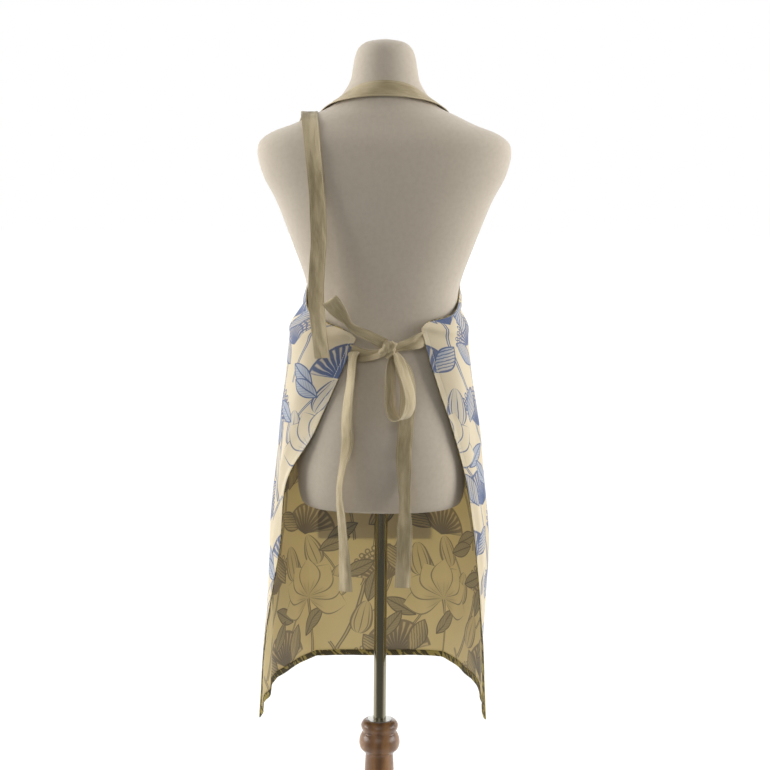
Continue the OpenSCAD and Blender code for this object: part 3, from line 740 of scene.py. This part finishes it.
def makeShell():
    # the moulded shell just under the jersey, closed at the crown and open over the base board
    last = len(torsoCurve) - 1
    foot = torsoForm["shellFoot"]

    def place(across, down):
        point = torsoPoint(foot + (1 - down) * (last - foot), across * 2 * math.pi + math.pi / 2)
        return point, (across * 0.78, point.z), 0.5
    shape = gridMesh(96, 130, place)
    bmesh.ops.remove_doubles(shape, verts=shape.verts, dist=0.00002)
    crown = [e for e in shape.edges if e.is_boundary and e.verts[0].co.z > 1.4]
    bmesh.ops.holes_fill(shape, edges=crown, sides=0)
    bmesh.ops.recalc_face_normals(shape, faces=shape.faces)
    shape.normal_update()
    for point in shape.verts:
        point.co -= point.normal * torsoForm["shellInset"]
    shell = newPiece("torsoShell", shape, "form", ["torso_shell"], "shell", materials["shell"])
    addModifier(shell, "SOLIDIFY", thickness=torsoForm["shellThick"], offset=-1.0)


makeJersey()
makeShell()
print("torso form covered")


# ---------- apron ----------

apron = {
    # nine stations round the body in each row, left back edge to right back edge; millimetres
    "net": [
        [(-132, 90, 1236), (-106, 112, 1238), (-72, 132, 1240), (-36, 135, 1241), (0, 135, 1241),
         (36, 135, 1241), (72, 132, 1240), (106, 112, 1238), (132, 90, 1236)],
        [(-135, 58, 1172), (-120, 88, 1178), (-83, 118, 1183), (-42, 129, 1185), (0, 131, 1185),
         (42, 129, 1185), (83, 118, 1183), (120, 88, 1178), (135, 58, 1172)],
        [(-120.5, 38, 1112), (-113, 69, 1122), (-91, 107, 1130), (-46, 124, 1132), (0, 127, 1132),
         (46, 124, 1132), (88, 107, 1130), (113, 69, 1122), (122, 38, 1112)],
        [(-112, -42, 1058), (-124.5, 14, 1074), (-108, 84, 1084), (-54, 117, 1087), (0, 123, 1087),
         (52, 117, 1087), (102, 84, 1084), (123, 14, 1074), (110, -42, 1062)],
        [(-47, -82, 1030), (-116, -50, 1036), (-142, 24, 1041), (-85, 103, 1043), (0, 121, 1043),
         (82, 103, 1043), (131, 24, 1041), (110, -50, 1042), (63, -82, 1046)],
        [(-48, -83, 1006), (-119, -52, 1009), (-145, 24, 1013), (-87, 105, 1015), (0, 122, 1015),
         (84, 105, 1015), (133, 24, 1013), (112, -52, 1014), (63, -83, 1020)],
        [(-76, -84, 940), (-131, -52, 945), (-151, 24, 950), (-96, 110, 953), (0, 124, 954),
         (92, 110, 953), (139, 24, 950), (126, -54, 946), (88, -86, 942)],
        [(-105, -80, 874), (-146, -38, 878), (-158, 24, 881), (-106, 115, 884), (-2, 127, 884),
         (100, 115, 884), (149, 24, 881), (140, -38, 878), (111, -80, 876)],
        [(-144, -60, 800), (-161, -24, 801), (-165, 26, 802), (-114, 121, 803), (-5, 130, 803),
         (103, 121, 803), (157, 26, 802), (151, -26, 801), (133, -62, 800)],
        [(-156, -62, 690), (-173, -28, 691), (-175, 30, 692), (-121, 127, 693), (-8, 132, 693),
         (109, 127, 693), (167, 28, 692), (163, -28, 691), (148, -64, 690)],
        [(-176, -78, 560), (-178, -30, 562), (-171, 32, 565), (-119, 133, 567), (-8, 135, 568),
         (112, 133, 567), (161, 30, 565), (161, -28, 562), (158, -78, 560)],
        [(-183, -100, 436), (-181, -45, 447), (-168, 36, 457), (-108, 140, 463), (-10, 134, 465),
         (108, 141, 463), (151, 34, 457), (162, -42, 447), (165, -100, 436)]],
    "cloth": 0.0007, "columns": 260, "rows": 240, "waistRow": 4,
    "pocketSides": (3.15, 4.76), "pocketRows": (7.35, 9.22), "pocketBulge": 0.013,
    "flat": (0.76, 0.80), "area": 0.50}
clothNet = [[Vector(p) / 1000 for p in row] for row in apron["net"]]
lastStation, lastRow = len(clothNet[0]) - 1, len(clothNet) - 1


def rowPoint(j, s):
    # smooth round the body above, with soft corners at the stations towards the hem
    i = min(int(s), lastStation - 1)
    sharp = clothNet[j][i].lerp(clothNet[j][i + 1], s - i)
    return curveAt(clothNet[j], s).lerp(sharp, min(max((j - 7) * 0.22, 0), 0.8))


def clothMid(s, t):
    return curveAt([rowPoint(j, s) for j in range(lastRow + 1)], t)


def clothNormal(s, t):
    e = 0.05
    across = clothMid(min(s + e, lastStation), t) - clothMid(max(s - e, 0), t)
    down = clothMid(s, min(t + e, lastRow)) - clothMid(s, max(t - e, 0))
    return across.cross(down).normalized()


def folds(s, t):
    # how far the cloth stands off its smooth shape: soft flutes that hang from the waist
    skirt = min(max((t - apron["waistRow"] - 0.6) / 6.5, 0), 1)
    side = math.cos((s - 4) / 4 * math.pi / 2)
    flute = math.sin(s * 3.1 + 0.5) * 0.6 + math.sin(s * 6.7 + 1.4 + t * 0.12) * 0.4
    gather = math.exp(-((t - 4.6) / 1.1) ** 2) * math.exp(-(min(s, lastStation - s) / 1.3) ** 2)
    crumple = (noise.noise(Vector((s * 1.7, t * 0.8, 3.0))) * 0.004
               + noise.noise(Vector((s * 4.1, t * 2.0, 9.0))) * 0.0012)
    pull = math.sin((t - 4.6) * 7 + s * 2.2) * 0.0007 * gather
    crease = -0.0035 * skirt * math.exp(-abs(s - 5.02) / 0.10)
    return skirt * flute * (0.0028 + 0.0022 * (1 - side)) + crumple * (0.15 + 0.85 * skirt) + pull + crease


def clothPoint(s, t, off=0.0):
    return clothMid(s, t) + clothNormal(s, t) * (folds(s, t) + off)


# flat places: along each row from its middle, and down the centre line
steps = 40
centreLine = [0.0]
for j in range(1, lastRow * 4 + 1):
    centreLine.append(centreLine[-1] + (clothMid(4, j / 4) - clothMid(4, (j - 1) / 4)).length)
rowLengths = []
for j in range(lastRow * 4 + 1):
    line = [clothMid(i * lastStation / steps, j / 4) for i in range(steps + 1)]
    run = [0.0]
    for first, second in zip(line, line[1:]):
        run.append(run[-1] + (second - first).length)
    rowLengths.append([value - run[steps // 2] for value in run])


def lerpList(values, where):
    i = min(int(where), len(values) - 2)
    return values[i] + (values[i + 1] - values[i]) * (where - i)


def flatPlace(s, t):
    row = min(t * 4, lastRow * 4 - 0.0001)
    low = lerpList(rowLengths[int(row)], s / lastStation * steps)
    high = lerpList(rowLengths[int(row) + 1], s / lastStation * steps)
    sag = clothMid(4, t).z - clothMid(s, t).z
    return (low + (high - low) * (row - int(row)), -lerpList(centreLine, row) - sag * 0.9)


def makePanel():
    def place(across, down):
        s, t = across * lastStation, down * lastRow
        flat = flatPlace(s, t)
        ends = [abs(flat[0] - flatPlace(e, t)[0]) for e in (0, lastStation)]
        margin = min(*ends, abs(flat[1] - flatPlace(s, 0)[1]),
                     abs(flat[1] - flatPlace(s, lastRow)[1]) * 0.36 + 0.0003)
        return clothPoint(s, t), flat, margin
    shape = gridMesh(apron["columns"], apron["rows"], place)
    panel = newPiece("apronPanel", shape, "form", ["apron_panel"], "print_cotton",
                     materials["face"], materials["reverse"])
    addModifier(panel, "SOLIDIFY", thickness=apron["cloth"], offset=0.0, material_offset=1,
                material_offset_rim=1)
    return panel


def makeStrip(name, node, sides, rows, columns, count, off, thick=0.0007):
    # a turned-in hem: a strip of the cloth laid on its inner side, its free edge rounded down
    def place(across, down):
        s = sides[0] + (sides[1] - sides[0]) * across
        t = rows[0] + (rows[1] - rows[0]) * down
        return clothPoint(s, t, off), flatPlace(s, t), 0.004
    shape = gridMesh(columns, count, place)
    strip = newPiece(name, shape, "form", [node], "hem_cotton", materials["hem"])
    addModifier(strip, "SOLIDIFY", thickness=thick, offset=0.0)
    addModifier(strip, "BEVEL", width=0.0003, segments=2, limit_method="ANGLE")
    return strip


panel = makePanel()
under = -(apron["cloth"] + 0.0006)
strips = [
    makeStrip("bottomHem", "bottom_hem", (0.0, lastStation), (lastRow - 0.15, lastRow), 220, 3, under),
    makeStrip("sideHemLeft", "side_hem_left", (0, 0.13), (4.95, lastRow - 0.16), 3, 150, under),
    makeStrip("sideHemRight", "side_hem_right", (lastStation - 0.13, lastStation), (4.95, lastRow - 0.16),
              3, 150, under),
    makeStrip("armholeHemLeft", "armhole_hem_left", (0, 0.2), (0.42, 3.98), 3, 100, under),
    makeStrip("armholeHemRight", "armhole_hem_right", (lastStation - 0.2, lastStation),
              (0.42, 3.98), 3, 100, under),
    makeStrip("bibHem", "bib_hem", (0.0, lastStation), (0, 0.4), 160, 4, under)]


def pocketRise(across, down):
    rise = apron["pocketBulge"] * max(math.sin(math.pi * across), 0) ** 0.7 * (1 - down * down)
    return rise * (1 + 0.12 * math.sin(across * 9 + down * 3))


def makePocket(name, node, slot, depth, off, mats, count):
    def place(across, down):
        s = apron["pocketSides"][0] + (apron["pocketSides"][1] - apron["pocketSides"][0]) * across
        part = depth[0] + (depth[1] - depth[0]) * down
        t = apron["pocketRows"][0] + (apron["pocketRows"][1] - apron["pocketRows"][0]) * part
        flat = flatPlace(s, t)
        margin = min(across, 1 - across) * 0.19
        margin = min(margin, (1 - part) * 0.19)
        return clothPoint(s, t, off + pocketRise(across, part)), (flat[0] + 0.13, flat[1] + 0.09), margin
    shape = gridMesh(70, count, place)
    pocket = newPiece(name, shape, "form", [node], slot, *mats)
    addModifier(pocket, "SOLIDIFY", thickness=0.0008, offset=0.0, material_offset=len(mats) - 1,
                material_offset_rim=len(mats) - 1)
    return pocket


pocket = makePocket("patchPocket", "patch_pocket", "print_cotton", (0, 1), 0.0012,
                    [materials["face"], materials["reverse"]], 60)
pocketHem = makePocket("pocketHem", "pocket_hem", "hem_cotton", (0, 0.13), 0.0002, [materials["hem"]], 8)
print("apron made")


# ---------- straps, ties and bow ----------

tape = {"width": 0.025, "thick": 0.0011, "cells": 12}


def makeTape(name, body, replaced, path, width=None, curl=0.0, wave=0.0, spacing=0.004,
             seed=1.0, taper=None, ridge=None, blend=None):
    # path: given points, each x, y, z and the way the width points; millimetres
    width = width or tape["width"]
    centre = [Vector(p[:3]) / 1000 for p in path]
    across = [Vector(p[3:6]) for p in path]
    last = len(path) - 1
    fine = [curveAt(centre, i * last / 400) for i in range(401)]
    run = [0.0]
    for first, second in zip(fine, fine[1:]):
        run.append(run[-1] + (second - first).length)
    length = run[-1]
    count = max(int(length / spacing), 6)

    def whereAt(distance):
        low = max(i for i, value in enumerate(run) if value <= distance + 1e-9)
        low = min(low, 399)
        part = (distance - run[low]) / max(run[low + 1] - run[low], 1e-9)
        return (low + part) / 400 * last

    lines = []
    for j in range(count + 1):
        where = whereAt(length * j / count)
        middle = curveAt(centre, where)
        ahead = (curveAt(centre, min(where + 0.02, last))
                 - curveAt(centre, max(where - 0.02, 0))).normalized()
        side = curveAt(across, where)
        side = (side - ahead * side.dot(ahead)).normalized()
        lines.append((middle, side, ahead.cross(side)))

    def place(a, d):
        j = min(int(round(d * count)), count)
        middle, side, up = lines[j]
        offset = (a - 0.5) * width
        if taper:
            offset *= taper(d)
        bend = curl * (0.25 - (a - 0.5) ** 2) * 4
        ripple = wave * noise.noise(Vector((a * 2.2 + seed * 7, d * length * 22, seed)))
        if ridge:
            crest = ridge[0] + (ridge[1] - ridge[0]) * d
            downRidge = min(max(d, 0.0), 1.0)
            ripple += ridge[2] * math.exp(-abs(a - crest) / 0.22) * math.sin(math.pi * downRidge) ** 0.5
        return middle + side * offset + up * (bend + ripple), (a * width, d * length), min(a, 1 - a) * width
    shape = gridMesh(tape["cells"], count, place)
    strap = newPiece(name, shape, None if blend else body, replaced, "tape_cotton", materials["tape"])
    if blend:
        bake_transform(strap)
    addModifier(strap, "SOLIDIFY", thickness=tape["thick"], offset=0.0)
    addModifier(strap, "BEVEL", width=0.0004, segments=2, limit_method="ANGLE", angle_limit=math.radians(60))
    print(f"  {name}: {length:.3f} m long")
    return strap


neckRun = [(117, 99, 1246, 0.8, -0.6, 0), (113, 93, 1270, 0.85, -0.5, 0.1), (107, 79, 1304, 0.9, -0.4, 0.1),
           (101, 61, 1336, 0.9, -0.3, 0.2), (93, 36, 1361, 0.85, -0.2, -0.3), (82, 2, 1376, 0.8, -0.3, -0.5),
           (64, -32, 1385, 0.6, -0.6, -0.6), (34, -52, 1394, 0.2, -0.5, -0.9), (0, -59, 1397, 0, -0.3, -1)]
mirrored = [(-x, y, z, -a, b, c) for x, y, z, a, b, c in reversed(neckRun[:-1])]
strapTop = [(-119, 110, 1268, -0.85, -0.5, 0), (-122, 98, 1290, -0.9, -0.4, 0),
            (-124, 78, 1320, -0.93, -0.3, -0.2),
            (-122.5, 46, 1348, -0.9, -0.2, -0.35), (-117, 14, 1359.5, -0.93, 0, -0.35),
            (-114, -20, 1362.5, -1, 0.05, 0)]
strapEnd = [(-114, -17, 1362.5, -1, 0.05, 0), (-114, -25, 1362, -1, 0.05, 0), (-113, -46, 1355, -1, 0.1, 0),
            (-110, -69, 1337, -1, 0.25, 0),
            (-106, -85, 1302, -1, 0.3, 0), (-101, -88, 1255, -1, 0.25, 0), (-98, -88, 1210, -1, 0.2, 0),
            (-97, -88, 1170, -1, 0.25, 0), (-99, -88, 1135, -1, 0.3, 0), (-100.5, -88, 1090, -1, 0.3, 0),
            (-97, -88, 1045, -1, 0.35, 0), (-91, -89, 994, -1, 0.4, 0)]
makeTape("ringTab", "form", ["ring_tab"], [(-118, 102, 1222, 0.8, 0.6, 0), (-118, 102.5, 1234, 0.8, 0.6, 0),
         (-118, 103, 1248, 0.8, 0.6, 0)])
makeTape("neckStrap", "form", ["neck_strap"], [(118, 101, 1218, 0.8, -0.6, 0)] + neckRun + mirrored,
         wave=0.0006)
makeTape("neckStrapReturn", "form", ["neck_strap_return"], strapTop, wave=0.0006, seed=2)
makeTape("neckStrapTail", "strap_end", ["neck_strap_tail"], strapEnd, curl=0.0015, wave=0.0012, seed=3,
         blend=((-0.114, -0.020, 1.3625), (-0.113, -0.045, 1.356)))

makeTape("waistTieLeft", "form", ["waist_tie_left"],
         [(-56, -78, 1008, 0, -0.1, -1), (-47, -84, 1005, 0, -0.1, -1), (-33, -89, 1000, 0, -0.3, -1),
          (-17, -91, 999.5, 0, -0.2, -1), (-3, -95, 1003, 0, 0, -1), (7, -96, 1007, 0, 0, -1)], width=0.020,
         wave=0.002, seed=4, ridge=(1.0, 0.1, 0.0045), spacing=0.002,
         taper=lambda d: 0.85 + 0.15 * min(d / 0.3, 1) - 0.5 * min(max((d - 0.45) / 0.5, 0), 1))
makeTape("waistTieRight", "form", ["waist_tie_right"],
         [(14, -96, 1009, 0, 0.1, -1), (27, -93, 1013, 0, 0.1, -1), (38, -91, 1016, 0, -0.2, -1),
          (49, -89, 1019, 0, -0.2, -1), (60, -84, 1023, 0, 0, -1), (69, -77.5, 1025, 0, 0, -1)], width=0.022,
         wave=0.0015, seed=5, ridge=(0.9, 0.15, 0.004), spacing=0.002,
         taper=lambda d: 0.5 + 0.5 * min(max(d / 0.7, 0), 1))


def pinched(d):
    # full width at the loop's far end, narrow where it is gathered
    t = 1 - abs(2 * d - 1)
    return 0.62 - 0.22 * math.exp(-((t - 0.58) / 0.14) ** 2) + 0.42 * min(max((t - 0.62) / 0.26, 0), 1)


makeTape("bowLoopLeft", "form", ["bow_loop_left"],
         [(6, -98, 1014, 0.3, 0, 1), (-14, -102, 1026, 0.5, 0, 1), (-44, -105, 1042, 0.6, -0.1, 0.8),
          (-62, -107, 1062, 0.8, -0.1, 0.55), (-77, -109, 1080, 0.89, -0.1, 0.45),
          (-79, -110.5, 1082, 0.89, -0.1, 0.45),
          (-77, -112, 1080.5, 0.89, -0.1, 0.45), (-62, -111, 1063, 0.8, -0.1, 0.55),
          (-46, -109, 1043, 0.6, -0.1, 0.8), (-18, -106, 1029, 0.5, 0, 1), (5, -101, 1018, 0.4, 0, 1)],
         wave=0.0016, seed=6, taper=pinched, spacing=0.002, ridge=(0.2, 0.8, 0.0016))
loopPath = [(18, 1004), (23, 998), (31, 978), (39, 954), (42, 932), (37, 915), (27, 908),
            (18, 911), (12.5, 926),
            (11.5, 948), (12, 970), (13, 988), (15, 1002)]
loopTurn = math.radians(45)
makeTape("bowLoopRight", "loop_right", ["bow_loop_right"],
         [(x, -101 - 24 * min(max((1006 - z) / 96, 0.02), 1) ** 0.75 - (x - 20) * 0.17, z,
           math.sin(loopTurn), math.cos(loopTurn), 0) for x, z in loopPath],
         width=0.022, curl=0.0012, wave=0.0016, seed=7, spacing=0.002,
         taper=lambda d: 0.55 + 0.45 * min(max(d / 0.06, 0), 1) * min(max((1 - d) / 0.16, 0), 1))
makeTape("tieTailLeft", "tail_left", ["tie_tail_left"],
         [(-44, -83.5, 1003, 0.8, -0.3, 0), (-45.5, -89.5, 994, 0.55, -0.75, 0),
          (-47, -94.5, 975, 0.55, -0.83, 0),
          (-48.5, -99, 950, 0.55, -0.83, 0), (-53, -107, 908, 0.68, -0.73, 0),
          (-52, -110.5, 868, 0.75, -0.66, 0),
          (-58, -114.5, 835, 0.45, -0.88, 0), (-63, -115, 805, 0.4, -0.9, 0), (-62, -113, 775, 0.5, -0.86, 0),
          (-58, -108, 729, 0.6, -0.8, 0), (-54.5, -104, 675, 0.75, -0.6, 0), (-53, -103, 638, 0.9, -0.4, 0)],
         width=0.023, curl=0.002, wave=0.0018, seed=8,
         blend=((-0.045, -0.089, 0.999), (-0.047, -0.095, 0.966)))
makeTape("tieTailRight", "tail_right", ["tie_tail_right"],
         [(16, -96, 1003, 1, 0, 0), (25, -98, 990, 1, 0, 0), (36, -99.5, 965, 1, 0, 0),
          (38.5, -102, 935, 1, 0, 0),
          (36.5, -105, 905, 1, 0, 0), (34.5, -108, 872, 1, 0, 0), (33, -109, 848, 1, 0.05, 0),
          (34, -109, 815, 0.85, -0.5, 0), (35.5, -109, 770, 0.7, -0.7, 0), (36, -107, 735, 0.95, -0.3, 0),
          (35, -105, 700, 1, 0, 0), (33, -105, 645, 0.98, 0.1, 0)], width=0.0235, curl=0.002, wave=0.0018,
          seed=9,
         taper=lambda d: 0.55 + 0.45 * min(max(d / 0.08, 0), 1))

knot = {"centre": (0.0090, -0.0990, 1.0095), "size": (0.0125, 0.0120, 0.0140), "turn": 24}


def makeKnot():
    # a gathered band pulled tight round the crossing of the ties
    shape = bmesh.new()
    bmesh.ops.create_uvsphere(shape, u_segments=96, v_segments=64, radius=1.0)
    cut = shape.loops.layers.uv.new("cut")
    edge = shape.loops.layers.uv.new("edge")
    for point in shape.verts:
        x, y, z = point.co
        # the wrapping band crosses the lump from its lower left to its upper right
        along = x * 0.5 + z * 0.87
        across = x * 0.87 - z * 0.5
        band = math.exp(-((across + 0.25) / 0.42) ** 4)
        pleat = math.sin(across * 10 + math.sin(along * 2.2) * 1.1) * 0.035 * band
        groove = (-0.16 * math.exp(-((across - 0.42) / 0.13) ** 2)
                  - 0.10 * math.exp(-((across + 0.78) / 0.12) ** 2))
        lump = noise.noise(point.co * 1.5) * 0.14
        square = (abs(x) ** 3.2 + abs(y) ** 3.2 + abs(z) ** 3.2) ** (-1 / 3.2)
        point.co = Vector((x, y, z)) * (square * (0.9 + band * 0.10 + pleat + groove + lump))
    turn = Matrix.Rotation(math.radians(knot["turn"]), 4, "Y")
    size = Matrix.Diagonal((*knot["size"], 1))
    bmesh.ops.transform(shape, matrix=Matrix.Translation(knot["centre"]) @ turn @ size, verts=shape.verts)
    for face in shape.faces:
        for loop in face.loops:
            loop[cut].uv = (loop.vert.co.x + loop.vert.co.y, loop.vert.co.z)
            loop[edge].uv = (0.012, 0)
    return newPiece("bowKnot", shape, "form", ["bow_knot"], "tape_cotton", materials["tape"])


makeKnot()
print("straps, ties and bow made")


# ---------- stand ----------

post = {
    # radius and height of the turned outline, from its foot to its domed top; millimetres
    "outline": [(30, 62), (34, 68), (34, 109), (34, 150), (37, 156), (38, 162), (36, 168), (30, 172),
                (29, 178), (31, 190), (34, 206), (35, 222), (33, 240), (29, 258), (25.6, 276), (24, 292),
                (23.6, 316), (22.8, 332), (22.4, 345), (26, 349), (30.5, 354), (32.3, 360), (32.5, 365),
                (31.5, 371), (29, 377), (26.5, 381), (28, 384.5), (29.5, 389), (29.3, 393),
                (26, 398), (21, 400)],
    "bore": 0.013, "segments": 96, "perSpan": 5}


def makePost():
    outline = [Vector((r / 1000, 0, z / 1000)) for r, z in post["outline"]]
    count = (len(outline) - 1) * post["perSpan"]
    line = [curveAt(outline, i / post["perSpan"]) for i in range(count + 1)]
    line = [Vector((post["bore"], 0, line[0].z))] + line + [Vector((post["bore"], 0, line[-1].z))]
    shape = bmesh.new()
    points = [shape.verts.new(p) for p in line]
    edges = [shape.edges.new(pair) for pair in zip(points, points[1:])]
    bmesh.ops.spin(shape, geom=points + edges, cent=(0, 0, 0), axis=(0, 0, 1), angle=2 * math.pi,
                   steps=post["segments"], use_merge=True)
    bmesh.ops.recalc_face_normals(shape, faces=shape.faces)
    return newPiece("turnedPost", shape, "stand", ["turned_post"], "wood", materials["wood"])


makePost()

leg = {"top": [(30, 144), (60, 143), (100, 132), (140, 110), (180, 80), (215, 50), (240, 33), (260, 24)],
       "under": [(260, 5), (226, 5), (205, 16), (170, 45), (130, 74), (90, 92), (58, 90), (44, 62), (30, 62)],
       "thick": 0.024, "round": 0.0035}


def makeLeg(name, node, turn, material):
    def line(points):
        rough = [Vector((x / 1000, 0, z / 1000)) for x, z in points]
        return [curveAt(rough, i / 5) for i in range((len(rough) - 1) * 5 + 1)]
    outline = line(leg["top"]) + [Vector((p.x, 0, max(p.z, 0.005))) for p in line(leg["under"])]
    shape = bmesh.new()
    side = [shape.verts.new((p.x, -leg["thick"] / 2, p.z)) for p in outline]
    bmesh.ops.remove_doubles(shape, verts=side, dist=0.0001)
    face = shape.faces.new([v for v in shape.verts])
    grown = bmesh.ops.extrude_face_region(shape, geom=[face])["geom"]
    moved = [g for g in grown if isinstance(g, bmesh.types.BMVert)]
    bmesh.ops.translate(shape, verts=moved, vec=(0, leg["thick"], 0))
    bmesh.ops.recalc_face_normals(shape, faces=shape.faces)
    rims = [e for e in shape.edges if abs(e.verts[0].co.y - e.verts[1].co.y) < 1e-6]
    bmesh.ops.bevel(shape, geom=rims, offset=leg["round"], segments=4, profile=0.5, affect="EDGES",
                    material=-1, clamp_overlap=True)
    bmesh.ops.transform(shape, matrix=Matrix.Rotation(math.radians(turn), 4, "Z"), verts=shape.verts)
    return newPiece(name, shape, "stand", [node], "wood", material, smooth=False)


for name, node, turn, material in (("legFront", "leg_front", 90, "woodY"),
                                   ("legBack", "leg_back", 270, "woodY"),
                                   ("legLeft", "leg_left", 180, "woodX"),
                                   ("legRight", "leg_right", 0, "woodX")):
    makeLeg(name, node, turn, materials[material])


def dressNode(node, material):
    obj = nodes[node]
    obj.data.materials.clear()
    obj.data.materials.append(material)


dress = {
    "steel": ["post_sleeve", "leg_plate", "plate_screws", "clamp_screw", "socket_tube", "socket_flange",
              "flange_screws", "cover_staples"],
    "felt": ["foot_pads"], "brass": ["clamp_insert"], "chrome": ["pole_tube"],
    "cap_plastic": ["pole_end_plugs"],
    "plywood": ["base_board"], "nickel": ["d_rings"]}
for key, names in dress.items():
    for node in names:
        dressNode(node, materials[key])
print("stand made and CAD pieces dressed")
